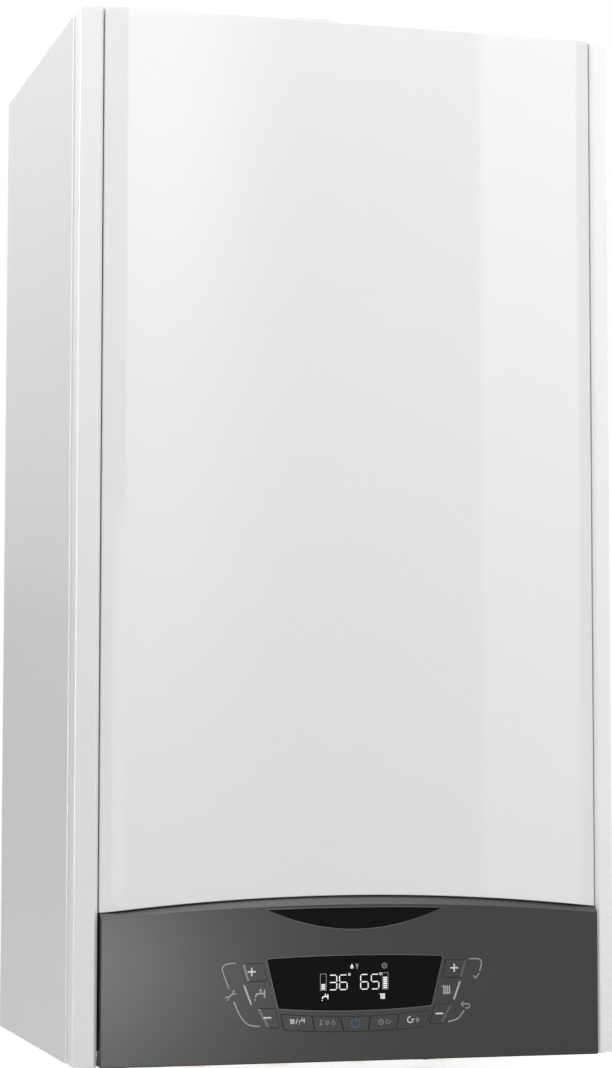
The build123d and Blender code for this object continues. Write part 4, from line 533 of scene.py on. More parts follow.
# ---- front panel
PANEL_HALF, PANEL_SHEET = PANEL_HIGH.x, 1.0
FRONT_HALF = PANEL_HALF + 0.45  # fills part of the gap beside the corner trims
PANEL_REAR = PANEL_LOW.y + 16.5
EDGE_WIDTH, EDGE_DROP = 17.0, 3.8
PANEL_CORNER_R, PANEL_FOLD_R = 2.0, 0.6
FACE_POINTS, ROLL_POINTS, WALL_POINTS, PANEL_LEVELS = 24, 25, 7, 40
FINE_ARC, LEAST_STEP = 9, 0.1
ARCH_RISE, CONTROL_HEIGHT = 10.3, 116.0
ARCH_APEX = BOTTOM + CONTROL_HEIGHT
ARCH_R = arc_radius(PANEL_HALF, ARCH_RISE)
PIN_X, PIN_HEIGHTS, PIN_END_Y = PANEL_HALF - 32.8, (TOP - 8.0, ARCH_APEX + 13.5), -291.2


def panel_side_profile():
    """(x, y) points of the right half, from the middle of the face to the rear edge."""
    edge_r = arc_radius(EDGE_WIDTH, EDGE_DROP)
    flat = FRONT_HALF - EDGE_WIDTH
    face = [(x, PANEL_Y) for x in spread(0, flat, FACE_POINTS)[:-1]]
    rolled = [(flat + edge_r * math.sin(turn), PANEL_Y + edge_r * (1 - math.cos(turn)))
              for turn in spread(0, math.asin(EDGE_WIDTH / edge_r), ROLL_POINTS)]
    corner = Vector(rolled[-1])
    arc = arc_at(rolled[-2], corner, corner + Vector((0, 1)), PANEL_CORNER_R, FINE_ARC)
    reach = (Vector(arc[0]) - corner).length
    rolled = [spot for spot in rolled if (Vector(spot) - corner).length > reach + LEAST_STEP]
    side = [(FRONT_HALF, y) for y in spread(arc[-1][1], PANEL_REAR, WALL_POINTS)[1:]]
    return face + rolled + arc, side


def open_inset(points, distance):
    """Moves an open outline that runs from left to right along the front away from its outside."""
    moved = []
    for i, (x, y) in enumerate(points):
        before, after = points[max(0, i - 1)], points[min(len(points) - 1, i + 1)]
        way = (Vector(after) - Vector(before)).normalized()
        moved.append((x - way.y * distance, y + way.x * distance))
    return moved


def add_front_panel():
    face, side = panel_side_profile()
    half = face + side
    outline = [(-x, y) for x, y in reversed(half[1:])] + half
    folds = quarter_round(PANEL_FOLD_R)
    loops = []

    def low_at(x):
        return arc_height(x, ARCH_APEX, ARCH_R)

    for side_in, rise in folds:
        loops.append([(x, y, low_at(x) + rise) for x, y in open_inset(outline, side_in)])
    for share in spread(0, 1, PANEL_LEVELS)[1:]:
        loops.append([(x, y, (low_at(x) + PANEL_FOLD_R) * (1 - share) + (TOP - PANEL_FOLD_R) * share)
                      for x, y in outline])
    for side_in, rise in reversed(folds[:-1]):
        loops.append(level_loop(open_inset(outline, side_in), TOP - rise))
    shape = bmesh.new()
    add_loops(shape, loops, closed=False)
    inner = open_inset(outline, PANEL_FOLD_R)
    front, walls = inner[len(side):-len(side)], [y for _, y in inner[-len(side):]]
    rear = walls[-1]
    shares = [0] + [(y - front[-1][1]) / (rear - front[-1][1]) for y in walls]
    for height in (low_at, lambda x: TOP):
        rows = [[(x, y + (rear - y) * share, height(x)) for x, y in front] for share in shares]
        add_loops(shape, rows, closed=False)
    add_piece("white_front", shape, "white_enamel", "front_cover", replaces=("front_panel",),
              sheet=PANEL_SHEET)


PIN_HEAD = 7.0
PIN_PROFILE = ((1.2, PIN_HEAD), (1.6, 6.5), (1.6, 3.0), (-8.5, 3.0), (-8.0, 2.2), (-5.5, 2.2), (-4.5, 3.0),
               (-2.8, 3.0), (0, 1.2))


def add_panel_pins():
    """Four pins with a groove for a spring clip. A place at or below 0 counts from the tip."""
    start = PANEL_Y + PANEL_SHEET
    length = PIN_END_Y - start
    profile = [(along if along > 0 else length + along, radius) for along, radius in PIN_PROFILE]
    pins = [(add_turned, (x, start, z), BACKWARDS, [(0, PIN_HEAD)] + profile, 24)
            for x in (-PIN_X, PIN_X) for z in PIN_HEIGHTS]
    add_shape("panel_pins", "bright_zinc", pins, "front_cover")


# ---- corner trims
TRIM_WALL, TRIM_WIDTH, TRIM_CHAMFER, TRIM_CHAMFER_DEPTH = 1.8, 15.8, 13.2, 8.5
TRIM_SIDE, TRIM_FLANK, TRIM_LIP, TRIM_RETURN, TRIM_CAP = 26.0, 2.4, 20.5, 11.0, 1.5
TRIM_CORNER_R, TRIM_RIDGE_R, TRIM_JOINT_R, TRIM_INNER_R, TRIM_END_R = 1.6, 1.2, 0.7, 0.5, 0.35
# edge faces that look further sideways than these get the painted highlight
TRIM_HIGHLIGHT_LEAN, SIDE_HIGHLIGHT_LEAN, FLAT_SIDE = 0.6, 0.05, 0.996  # how far a face looks sideways
LEVEL_LOOK = -0.05  # a face that looks to the front has a normal below this
TRIM_LEVELS, SIDE_LEVELS = 30, 24
RIDGE_Y = round(TRIM_LOW.y, 1)
TRIM_INNER, TRIM_RIDGE = HALF - TRIM_WIDTH, HALF - TRIM_CHAMFER
JOINT_STEP = 1.1  # the side sheet stands proud of the trim by this much
CORNER_Y = RIDGE_Y + TRIM_CHAMFER_DEPTH
SIDE_FRONT = CORNER_Y + TRIM_SIDE


def trim_outline():
    """(x, y) points of the right trim, from its inner lip to its return behind the side panel."""
    lip, inner = (TRIM_INNER, RIDGE_Y + TRIM_LIP), (TRIM_INNER, RIDGE_Y + TRIM_FLANK)
    ridge, corner = (TRIM_RIDGE, RIDGE_Y), (HALF, CORNER_Y)
    joint, rear = (HALF - JOINT_STEP, SIDE_FRONT), (HALF - TRIM_RETURN, SIDE_FRONT)
    return ([lip] + arc_at(lip, inner, ridge, TRIM_INNER_R, 4) + arc_at(inner, ridge, corner, TRIM_RIDGE_R)
            + arc_at(ridge, corner, joint, TRIM_CORNER_R)
            + arc_at(corner, joint, rear, TRIM_JOINT_R, 5) + [rear])


def add_trim(side, node):
    outline = [(side * x, y) for x, y in trim_outline()]
    back = [(side * x, y) for x, y in open_inset(trim_outline(), TRIM_WALL)]
    closed = anticlockwise(outline)
    shape = bmesh.new()
    for end, step in ((BOTTOM, 1), (TOP, -1)):
        rows = add_loops(shape, [level_loop(inset(closed, inwards), end + step * rise)
                                 for inwards, rise in quarter_round(TRIM_END_R, 3)])
        shape.faces.new(rows[0])
    low, high = BOTTOM + TRIM_END_R, TOP - TRIM_END_R
    cap_low, cap_high = BOTTOM + TRIM_CAP, TOP - TRIM_CAP
    levels = [low] + spread(cap_low, cap_high, TRIM_LEVELS) + [high]
    add_loops(shape, [level_loop(outline, z) for z in levels], closed=False)
    add_loops(shape, [level_loop(back, z) for z in (cap_low, cap_high)], closed=False)
    for z in (cap_low, cap_high):
        shape.faces.new([shape.verts.new(point) for point in level_loop(back, z)])
    lips = (outline[0], back[0]), (outline[-1], back[-1])
    ends = (outline[0], outline[-1])
    for edge, z_low, z_high in ((lips[0], cap_low, cap_high), (lips[1], cap_low, cap_high),
                                (ends, low, cap_low), (ends, cap_high, high)):
        add_loops(shape, [level_loop(edge, z_low), level_loop(edge, z_high)], closed=False)
    trim = add_piece(node + "_piece", shape, "white_trim", "casing", replaces=(node,))
    paint_edge_highlights(trim, TRIM_HIGHLIGHT_LEAN)


def paint_edge_highlights(piece, least):
    """Paints the outer rounded edges a lighter white, a painted highlight, with a glossier coat that catches
    the lamps.
    """
    piece.data.materials.append(MATERIALS["white_edge"])
    for face in piece.data.polygons:
        way = face.normal
        if way.y < LEVEL_LOOK and least < abs(way.x) < FLAT_SIDE and way.x * face.center.x > 0:
            face.material_index = 1


SIDE_SHEET, SIDE_EDGE_R = 1.0, 1.0


def add_side_sheet(side, node):
    rear = node_box(node)[1].y
    lip, corner, end = (HALF - TRIM_RETURN, SIDE_FRONT), (HALF, SIDE_FRONT), (HALF, rear)
    outer = [lip] + arc_at(lip, corner, end, SIDE_EDGE_R, FINE_ARC) + [end]
    inner = [(HALF - SIDE_SHEET, rear), (HALF - SIDE_SHEET, SIDE_FRONT + SIDE_SHEET),
             (lip[0], SIDE_FRONT + SIDE_SHEET)]
    outline = anticlockwise([(side * x, y) for x, y in outer + inner])
    loops = [level_loop(outline, z) for z in spread(BOTTOM, TOP, SIDE_LEVELS)]
    sheet = add_shape(node + "_sheet", "white_side", [(add_tube, loops)], slot="white_enamel",
                      replaces=(node,))
    paint_edge_highlights(sheet, SIDE_HIGHLIGHT_LEAN)


# ---- control panel front
FASCIA_HALF, FASCIA_GAP, FASCIA_WALL, FASCIA_DEPTH = 183.0, 1.3, 2.6, 21.0
ARCH_GAP = 0.5
SHOULDER_DEPTH, SHOULDER_DROP, SHOULDER_RISE = 4.4, 5.0, 8.0
FASCIA_EDGE_R, RIDGE_R, FASCIA_CORNER_R = 0.8, 1.0, 1.2
FRONT_APEX = ARCH_APEX - FASCIA_GAP - SHOULDER_DROP
FRONT_R = arc_radius(FASCIA_HALF, SHOULDER_RISE)
REAR_APEX, REAR_R = ARCH_APEX - ARCH_GAP, ARCH_R - ARCH_GAP
FASCIA_BACK = FASCIA_Y + FASCIA_WALL
RIM_R, KEY_RIM_R, BADGE_RIM_R = 0.6, 0.15, 0.25
TOP_STEPS, EDGE_STEPS, FASCIA_SHARP = 97, 6, 40
# shoulder faces that look upwards get the lighter grey as a painted highlight
SHOULDER_LOOK, SHOULDER_BAND = 0.35, 1.0  # a shoulder face looks upwards and lies this low at most
PEG_R, PEG_SPOT = 5.0, (-304.0, BOTTOM + 8.0)
PEG_START, PEG_END = FASCIA_HALF - FASCIA_WALL + 0.2, FASCIA_HALF - 7
INNER_DROP = 6

BADGE_HALF, BADGE_TOP, BADGE_HEIGHT, BADGE_PROUD, BADGE_RECESS = 64.0, 2.3, 14.8, 0.3, 1.0
BADGE_TIP, BADGE_GAP, BADGE_EDGE_R, BADGE_FOOT = 0.35, 0.12, 0.25, 0.05
# width and places of the lighter lines round the badge and lens, which are painted highlights
RIM_WIDTH, BADGE_RIM, LENS_RIM = 0.4, 0.35, 0.6
LENS = (64.5, BOTTOM + 72.0, 1.6, 56.0, BOTTOM + 38.2, 2.4)  # half width, height and bow, above and below
LENS_CORNER, LENS_GAP, LENS_SETBACK, LENS_EDGE_R, LENS_REACH = 0.9, 0.15, 0.05, 0.2, 1.0
BADGE_POINTS, LENS_POINTS = 61, 49
KEY_GAP, KEY_PROUD, KEY_DEPTH, ROW_GAP, KEY_CORNER_R = 0.35, 0.57, 6.0, 0.6, 1.1
PLUS_KEY = ((67.0, 70.1), (83.6, 69.7), (79.8, 56.6), (64.0, 57.0))
MINUS_KEY = ((58.6, 38.7), (73.0, 38.7), (65.4, 24.8), (54.4, 24.1))
ROW_TOP = ((11.3, 31.6), (32.0, 32.5), (55.4, 34.4))
ROW_BOTTOM = ((8.7, 20.4), (29.6, 21.0), (52.4, 22.8))


def shoulder_height(x, depth):
    """Height of the fascia's top edge at a depth behind its front face, with a rounded ridge."""
    front, rear = arc_height(x, FRONT_APEX, FRONT_R), arc_height(x, REAR_APEX, REAR_R)
    turn = math.atan2(SHOULDER_DEPTH, rear - front)
    if depth < RIDGE_R * (1 - math.cos(turn)):
        return front - RIDGE_R * math.tan(turn / 2) + RIDGE_R * math.sin(math.acos(1 - depth / RIDGE_R))
    return front + (rear - front) * min(1.0, depth / SHOULDER_DEPTH)


def fascia_outline(margin, depth, height=None):
    """(x, z) outline of the fascia at a depth behind its front face."""
    half, low, radius = FASCIA_HALF - margin, BOTTOM + margin, FASCIA_CORNER_R
    corners = []
    for side, first in ((-1, 180), (1, 270)):
        corners += circle((side * (half - radius), low + radius), radius, 4, first, first + 90)
    height = height or (lambda x: shoulder_height(x, depth))
    return corners + [(x, height(x)) for x in spread(half, -half, TOP_STEPS)]


def bow(start, apex, radius, count):
    """Points of an arc from one side to the same place on the other side."""
    return [(x, arc_height(x, apex, radius)) for x in spread(start, -start, count)]


def badge_outline(grow=0.0):
    half, apex = BADGE_HALF + grow, FRONT_APEX - BADGE_TOP + grow
    end = apex - half**2 * SHOULDER_RISE / FASCIA_HALF**2
    low = apex - BADGE_HEIGHT - 2 * grow
    reach = half - BADGE_TIP
    return (bow(-reach, low, -arc_radius(half, end - low), BADGE_POINTS)
            + bow(reach, apex, arc_radius(half, apex - end), BADGE_POINTS))


def lens_outline(grow=0.0):
    top_half, top, top_bow, low_half, low, low_bow = LENS
    top_half, low_half, top, low = top_half + grow, low_half + grow, top + grow, low - grow
    lean = LENS_CORNER * (top_half - low_half) / (top - low)
    upper = bow(top_half - LENS_CORNER, top + top_bow, arc_radius(top_half, top_bow), LENS_POINTS)
    lower = bow(LENS_CORNER - low_half, low - low_bow, -arc_radius(low_half, low_bow), LENS_POINTS)
    right = [(low_half + lean, low + LENS_CORNER), (top_half - lean, top - LENS_CORNER)]
    return lower + right + upper + list(mirrored(right))


def mirrored(points):
    return tuple((-x, z) for x, z in reversed(points))


def row_key(index):
    if index == 0:
        top, low = ROW_TOP[0], ROW_BOTTOM[0]
        return ((-top[0], top[1]), top, low, (-low[0], low[1]))
    inner, outer = abs(index) - 1, abs(index)
    points = (ROW_TOP[inner], ROW_TOP[outer], ROW_BOTTOM[outer], ROW_BOTTOM[inner])
    return points if index > 0 else mirrored(points)


def key_corners():
    keys = {"key_right_plus": PLUS_KEY, "key_right_minus": MINUS_KEY, "key_left_plus": mirrored(PLUS_KEY),
            "key_left_minus": mirrored(MINUS_KEY)}
    for place, name in enumerate(("key_mode", "key_comfort", "key_power", "key_auto", "key_reset")):
        keys[name] = row_key(place - 2)
    return {name: anticlockwise([(x, BOTTOM + z) for x, z in points]) for name, points in keys.items()}


KEYS = key_corners()


def fill_between(shape, rows):
    """Flat face between an outer loop and the holes in it."""
    spots = [[vert.co for vert in row] for row in rows]
    verts = [vert for row in rows for vert in row]
    for corner in tessellate_polygon(spots):
        shape.faces.new([verts[i] for i in corner])


def add_fascia():
    shape = bmesh.new()
    loops = [upright_loop(fascia_outline(side, depth), FASCIA_Y + depth)
             for side, depth in quarter_round(FASCIA_EDGE_R, EDGE_STEPS)]
    loops += [upright_loop(fascia_outline(0, depth), FASCIA_Y + depth)
              for depth in spread(FASCIA_EDGE_R, SHOULDER_DEPTH, EDGE_STEPS)[1:]]
    rear = FASCIA_Y + FASCIA_DEPTH
    inside = fascia_outline(FASCIA_WALL, 0, lambda x: arc_height(x, REAR_APEX - INNER_DROP, REAR_R))
    loops += [upright_loop(fascia_outline(0, SHOULDER_DEPTH), rear), upright_loop(inside, rear),
              upright_loop(inside, FASCIA_BACK)]
    rows = add_loops(shape, loops)
    front_rows, rear_rows = [rows[0]], [rows[-1]]
    holes = [(rounded(inset(points, ROW_GAP - KEY_GAP), KEY_CORNER_R), KEY_RIM_R, FASCIA_BACK)
             for points in KEYS.values()]
    holes.append((anticlockwise(lens_outline(LENS_GAP)), RIM_R, FASCIA_BACK))
    holes.append((anticlockwise(badge_outline(BADGE_GAP)), BADGE_RIM_R, FASCIA_Y + BADGE_RECESS))
    for hole, rim, floor in holes:
        rows = add_loops(shape, edge_loops(hole, FASCIA_Y, rim, -1) + [upright_loop(hole, floor)])
        front_rows.append(rows[0])
        if floor == FASCIA_BACK:
            rear_rows.append(rows[-1])
        else:
            shape.faces.new(rows[-1])
    fill_between(shape, front_rows)
    fill_between(shape, rear_rows)
    for side in (-1, 1):
        add_rod(shape, (side * PEG_START, *PEG_SPOT), (side * PEG_END, *PEG_SPOT), PEG_R)
    piece = add_piece("fascia", shape, "fascia_grey", "control_panel", replaces=("control_fascia",),
                      sharp=FASCIA_SHARP)
    # the upward-looking shoulder band is painted lighter, a painted highlight
    piece.data.materials.append(MATERIALS["shoulder_grey"])
    for face in piece.data.polygons:
        x, y, z = face.center / MM
        below = arc_height(x, FRONT_APEX, FRONT_R) - z
        if face.normal.z > SHOULDER_LOOK and below < SHOULDER_BAND and y < FASCIA_Y + SHOULDER_DEPTH:
            face.material_index = 1
    # thin lines in the lighter grey round the badge and lens: painted highlights on their rims
    rims = [(add_line, anticlockwise(outline), RIM_WIDTH, FASCIA_Y, True)
            for outline in (badge_outline(BADGE_RIM), lens_outline(LENS_RIM))]
    add_shape("window_rims", "shoulder_grey", rims, "control_panel", slot="fascia_grey")


def add_windows():
    """Badge plate, standing just proud, and display window, lying just below the face."""
    badge = (badge_outline(), FASCIA_Y - BADGE_PROUD, FASCIA_Y + BADGE_RECESS - BADGE_FOOT, BADGE_EDGE_R)
    lens = (lens_outline(), FASCIA_Y + LENS_SETBACK, FASCIA_BACK + LENS_REACH, LENS_EDGE_R)
    add_shape("badge", "badge_black", [(add_slab, *badge)], "control_panel", replaces=("badge_inlay",))
    add_shape("lens", "display_black", [(add_slab, *lens)], "control_panel", replaces=("display_lens",))


KEY_FRONT = FASCIA_Y - KEY_PROUD
BEVEL_WIDTH, BEVEL_DEPTH = 2.2, 0.7
KEY_LOOK, BEVEL_LEAN = -0.5, 0.15  # a bevel face looks to the front and leans outwards
KEY_FILL = 0.22  # a cap fills this much of the gap round its solid
KEY_LEVELS = (  # inset of the bevelled side and of the others, then the depths of both
    (BEVEL_WIDTH, 0.4, 0.0, 0.0), (BEVEL_WIDTH - 0.25, 0.18, 0.06, 0.07),
    (0.3, 0.04, BEVEL_DEPTH - 0.25, 0.2), (0.0, 0.0, BEVEL_DEPTH, 0.4))
OUTER_SIDES = {"key_right_plus": 1, "key_right_minus": 1, "key_left_plus": -1, "key_left_minus": -1}


def side_insets(corners, distances):
    """Moves each side of an anticlockwise outline inwards by its own distance."""
    count = len(corners)
    lines = []
    for i, corner in enumerate(corners):
        start = Vector(corner)
        way = (Vector(corners[(i + 1) % count]) - start).normalized()
        lines.append((start + Vector((-way.y, way.x)) * distances[i], way))
    moved = []
    for i in range(count):
        (p, u), (q, v) = lines[i - 1], lines[i]
        share = (q - p).cross(v) / u.cross(v)
        moved.append(tuple(p + u * share))
    return moved


def key_loop(corners, insets, depths):
    """Rounded key outline whose sides lie at their own depths behind the key's front."""
    loop = []
    for i, (x, z) in enumerate(rounded(side_insets(corners, insets), KEY_CORNER_R)):
        corner, step = divmod(i, ROUND_STEPS + 1)
        share = step / ROUND_STEPS
        depth = depths[corner - 1] * (1 - share) + depths[corner] * share
        loop.append((x, KEY_FRONT + depth, z))
    return loop


def add_keys():
    for name, points in KEYS.items():
        outer = OUTER_SIDES.get(name, 0)
        corners = inset(points, ROW_GAP - KEY_FILL)
        middle = sum(x for x, _ in corners) / 4
        bevelled = []
        for (x, z), (x1, z1) in zip(corners, corners[1:] + corners[:1]):
            bevelled.append(abs(z1 - z) > abs(x1 - x) and (x + x1 - 2 * middle) * outer > 0)
        loops = []
        for wide, narrow, deep, shallow in KEY_LEVELS:
            loops.append(key_loop(corners, [wide if bevel else narrow for bevel in bevelled],
                                  [deep if bevel else shallow for bevel in bevelled]))
        loops.append([(x, FASCIA_Y + KEY_DEPTH, z) for x, _, z in loops[-1]])
        cap = add_shape(name + "_cap", "key_grey", [(add_tube, loops)], name + "_body", replaces=(name,))
        cap.data.materials.append(MATERIALS["bevel_grey"])
        for face in cap.data.polygons:
            if face.normal.y < KEY_LOOK and face.normal.x * outer > BEVEL_LEAN:
                face.material_index = 1


# ---- printed symbols
def placed(points, centre, size=1.0):
    return [(centre[0] + x * size, centre[1] + z * size) for x, z in points]


def add_symbol(shape, symbol, y, centre=(0, 0), size=1.0):
    """Draws the strokes of a symbol, each a width with its points and True if it is closed.

    A single point is a dot of that radius. A second outline in place of the width is filled in between.
    """
    for width, points, *closed in symbol:
        spots = placed(points, centre, size)
        if isinstance(width, list):
            add_print(shape, spots, placed(width, centre, size), y, True)
        elif len(spots) == 1:
            add_dot(shape, spots[0], width * size, y)
        else:
            add_line(shape, spots, width * size, y, bool(closed))


def add_symbols(name, finish, body, y, symbols):
    slot = "knob_blue" if finish == "print_blue" else "cap_white"
    draws = [(add_symbol, symbol, y, *place) for symbol, *place in symbols]
    add_shape(name, finish, draws, body, slot=slot)


def tap(width=0.95):
    spout = smooth([(2.5, 0.3), (-1.6, 0.3), (-3.0, -0.5), (-3.6, -2.0)], 6)
    return [(width, [(3.0, 3.0), (3.0, -2.7)]), (width, spout), (width * 0.7, [(0.1, 2.0), (0.1, 0.8)]),
            (0.85, [(0.1, 2.6)]), (0.62, [(-3.8, -3.9)])]


def radiator(width=0.85):
    columns = [(width, [(x, 3.1), (x, -3.1)]) for x in (-1.8, -0.35, 1.1, 2.55)]
    links = [(0.5, [(x - 0.3, z), (x + 0.3, z)]) for x in (-1.08, 0.38, 1.82) for z in (1.9, -1.9)]
    return columns + links + [(0.6, [(-3.7, 2.6), (-2.4, 2.6)])]


def cycle(radius=2.0, width=0.75):
    """Open circle with an arrow head."""
    head = [(radius - 1.15, 0.45), (radius, -0.4), (radius + 1.15, 0.7)]
    return [(width, circle((0, 0), radius, 30, 80, 370)), (width * 0.8, head)]


BOLD = 1.05
PLUS = [(BOLD, [(-2.9, 0), (2.9, 0)]), (BOLD, [(0, 2.9), (0, BOLD / 2)]),
        (BOLD, [(0, -BOLD / 2), (0, -2.9)])]
MINUS = [(BOLD, [(-2.8, 0), (2.8, 0)])]
WRENCH = [(0.95, [(-2.1, -1.6), (1.7, 1.2)]), (0.75, circle((2.5, 1.9), 1.15, 14, 75, 345)),
          (0.75, circle((-2.9, -2.2), 1.15, 14, 255, 525))]
RETURN = [(0.8, [(-1.9, 1.0), (1.6, 1.0)] + circle((1.6, -0.5), 1.5, 10, 90, -90)[1:] + [(-0.2, -2.0)]),
          (0.8, [(-1.6, 2.7), (-3.2, 1.0), (-1.6, -0.7)])]
TICK = [(0.8, [(-2.2, 0.2), (-0.6, -1.6), (2.4, 1.9)])]
POWER = [(0.85, circle((0, 0), 3.1, 40, 125, 415)), (0.85, [(0, 3.4), (0, 0.4)])]
CLOCK = [(0.42, circle((0, 0), 1.75, 24), True), (0.36, [(0, 1.0), (0, 0), (0.85, -0.35)])]
SUN = [(0.38, circle((0, 0), 0.95, 18), True)]
SUN += [(0.32, ray) for ray in zip(circle((0, 0), 1.35, 8), circle((0, 0), 1.95, 8))]
TUBE = [(-0.45, -0.7), (-0.45, 1.5)] + circle((0, 1.5), 0.45, 8, 180, 0)[1:-1] + [(0.45, 1.5), (0.45, -0.7)]
THERMOMETER = [(0.32, TUBE + circle((0, -1.3), 0.8, 16, 50, -230)[1:-1], True), (0.42, [(0, -1.3)])]
DROP_SIDE = smooth([(0, 1.9), (0.75, 0.5), (1.15, -0.6), (0.75, -1.5), (0, -1.8)], 5)
DROP = [(0.34, DROP_SIDE + list(mirrored(DROP_SIDE[1:-1])), True)]
FLAME_EDGE = (smooth([(0.1, 1.9), (0.55, 0.7), (1.15, -0.4), (0.75, -1.4), (0, -1.7)], 5)
              + smooth([(0, -1.7), (-0.8, -1.4), (-1.1, -0.4), (-0.6, 0.5), (0.1, 1.9)], 5)[1:-1])
FLAME = [(placed(FLAME_EDGE, (0, -0.75), 0.38), FLAME_EDGE)]
DIAL = [(0.42, circle((0, 0), 1.7, 20), True), (0.42, [(-0.7, -0.6), (0.75, 0.7)])]
LEVEL_HALVES = (0.45, 0.62, 0.8, 0.98, 1.16)
LEVELS = [(0.42, [(-half, z), (half, z)]) for half, z in zip(LEVEL_HALVES, spread(-1.5, 1.5, 5))]
DEGREE = [(0.4, circle((0, 0), 0.75, 12), True)]
BAR_FRAME = [(0.3, rectangle(-2.15, 2.15, -5.7, 5.7), True)]
SEGMENTS = {"top": [(-2.2, 5.1), (2.2, 5.1)], "middle": [(-2.2, 0), (2.2, 0)],
            "foot": [(-2.2, -5.1), (2.2, -5.1)],
            "upper left": [(-2.75, 4.55), (-2.75, 0.55)], "upper right": [(2.75, 4.55), (2.75, 0.55)],
            "lower left": [(-2.75, -0.55), (-2.75, -4.55)], "lower right": [(2.75, -0.55), (2.75, -4.55)]}
# strokes that a digit leaves out
SPARED = {"3": ("upper left", "lower left"), "5": ("upper right", "lower left"), "6": ("upper right",)}
LEFT_BRACKET = [
    (0.85, smooth([(-87.2, -629.9), (-93.6, -630.6), (-96.3, -632.2), (-96.7, -634.8), (-94.6, -641.0),
                   (-92.1, -647.5)])),
    (0.95, smooth([(-88.6, -656.4), (-85.9, -662.5), (-82.7, -668.2), (-77.6, -672.8), (-69.9, -674.1)]))]
RIGHT_BRACKET = [
    (0.85, smooth([(84.5, -630.0), (90.8, -630.1), (93.6, -631.4), (93.8, -634.0), (92.5, -638.8)])),
    (0.95, smooth([(80.6, -666.5), (78.0, -670.0), (75.2, -672.4), (68.7, -674.1)]))]
SLASHES = [(1.35, [(-81.2, -645.5), (-75.9, -658.9)]), (1.35, [(77.7, -645.9), (73.0, -658.5)])]
MODE_SLASH = [(0.6, [(-43.9, -672.9), (-42.6, -669.4)])]

# finish of each piece, then its symbols with their places and sizes
PANEL_SIGNS = {
    "panel_lines": ("print_grey", [(LEFT_BRACKET,), (WRENCH, (-90.6, -652.0)), (RIGHT_BRACKET,),
                                   (TICK, (90.0, -642.1)), (RETURN, (81.8, -662.8))]),
    "panel_symbols": ("print_pale", [(SLASHES,), (tap(), (-69.4, -651.7)), (radiator(), (67.3, -651.6))]),
}
KEY_SIGNS = {
    "key_left_plus_sign": ("print_white", [(PLUS, (-75.8, -636.1))]),
    "key_left_minus_sign": ("print_white", [(MINUS, (-64.5, -668.1))]),
    "key_right_plus_sign": ("print_white", [(PLUS, (73.2, -636.1))]),
    "key_right_minus_sign": ("print_white", [(MINUS, (61.9, -668.1))]),
    "key_mode_sign": ("print_white", [(radiator(0.9), (-46.6, -671.2), 0.55), (MODE_SLASH,),
                                      (tap(1.1), (-39.4, -670.8), 0.55)]),
    "key_comfort_sign": ("print_grey", [(THERMOMETER, (-25.6, -672.3)), (SUN, (-20.9, -672.5)),
                                        (DROP, (-16.4, -672.6))]),
    "key_power_sign": ("print_blue", [(POWER, (-0.2, -673.2))]),
    "key_auto_sign": ("print_grey", [(CLOCK, (18.6, -673.0)), (cycle(1.5, 0.4), (23.6, -672.9))]),
    "key_reset_sign": ("print_white", [(cycle(), (40.2, -671.9))]),
    "key_reset_flame": ("print_grey", [(FLAME, (45.6, -671.9))]),
}
DIGITS, DIGIT_WIDTH = (("3", -16.6), ("6", -9.0), ("6", 6.5), ("5", 14.4)), 0.72
DIGIT_Z, DEGREE_Z, BARS_Z = -644.7, -639.3, -644.4
BAR_COUNTS = {-23.7: 3, 21.9: 6}  # lit bars of the two columns, by place
BAR_HALF, BAR_WIDTH, BAR_START, BAR_PITCH = 1.45, 1.0, -4.6, 1.4


def add_prints():
    for name, (finish, symbols) in PANEL_SIGNS.items():
        add_symbols(name, finish, "control_panel", FASCIA_Y, symbols)
    for name, (finish, symbols) in KEY_SIGNS.items():
        add_symbols(name, finish, name.rsplit("_", 1)[0] + "_body", KEY_FRONT, symbols)


def add_display():
    y = FASCIA_Y + LENS_SETBACK
    lit = []
    for digit, x in DIGITS:
        lines = [(DIGIT_WIDTH, line) for place, line in SEGMENTS.items() if place not in SPARED[digit]]
        lit.append((lines, (x, DIGIT_Z)))
    lit += [(DEGREE, (-4.6, DEGREE_Z)), (DEGREE, (18.4, DEGREE_Z)), (FLAME, (-2.7, -633.7)),
            (tap(1.25), (-22.2, -654.6), 0.62), (radiator(0.9), (19.8, -655.0), 0.62)]
    for x, count in BAR_COUNTS.items():
        heights = [BAR_START + i * BAR_PITCH for i in range(count)]
        lit.append(([(BAR_WIDTH, [(-BAR_HALF, z), (BAR_HALF, z)]) for z in heights], (x, BARS_Z)))
    add_symbols("display_digits", "display_glow", "control_panel", y, lit)
    dim = [(BAR_FRAME, (x, BARS_Z)) for x in BAR_COUNTS] + [(LEVELS, (1.1, -633.8)), (DIAL, (21.4, -633.7))]
    add_symbols("display_marks", "display_dim", "control_panel", y, dim)


# ---- fittings on the top
FLUE = (0.0, -165.0)
COLLAR_R, COLLAR_TOP, FLUE_BORE, FLUE_FLOOR = 50.3, TOP + 29.0, 30.2, TOP + 5.0
LIP_PROFILE = ((0, 0.05), (2.2, 0.05), (3.2, -1.0), (2.6, -2.2), (1.6, -2.4), (0.4, -1.2))
LIPS = ((COLLAR_TOP - 12, COLLAR_R), (FLUE_FLOOR - 5, FLUE_BORE))
PLUG_X, PLUG_LOW, PLUG_HIGH = 63.0, TOP + 6.0, TOP + 14.5
PLUG_R, PLUG_FLUTE, PLUG_FLUTES, PLUG_EDGE_R = 7.6, 0.5, 18, 0.5
CAP_X, CAP_FACE, CAP_RIMS = 128.0, TOP + 2.45, (41.4, 33.0)
RIM_PROFILE = ((0, -1.4), (1.0, -1.1), (1.3, -0.4), (1.3, 0.4), (1.0, 1.1), (0, 1.4))


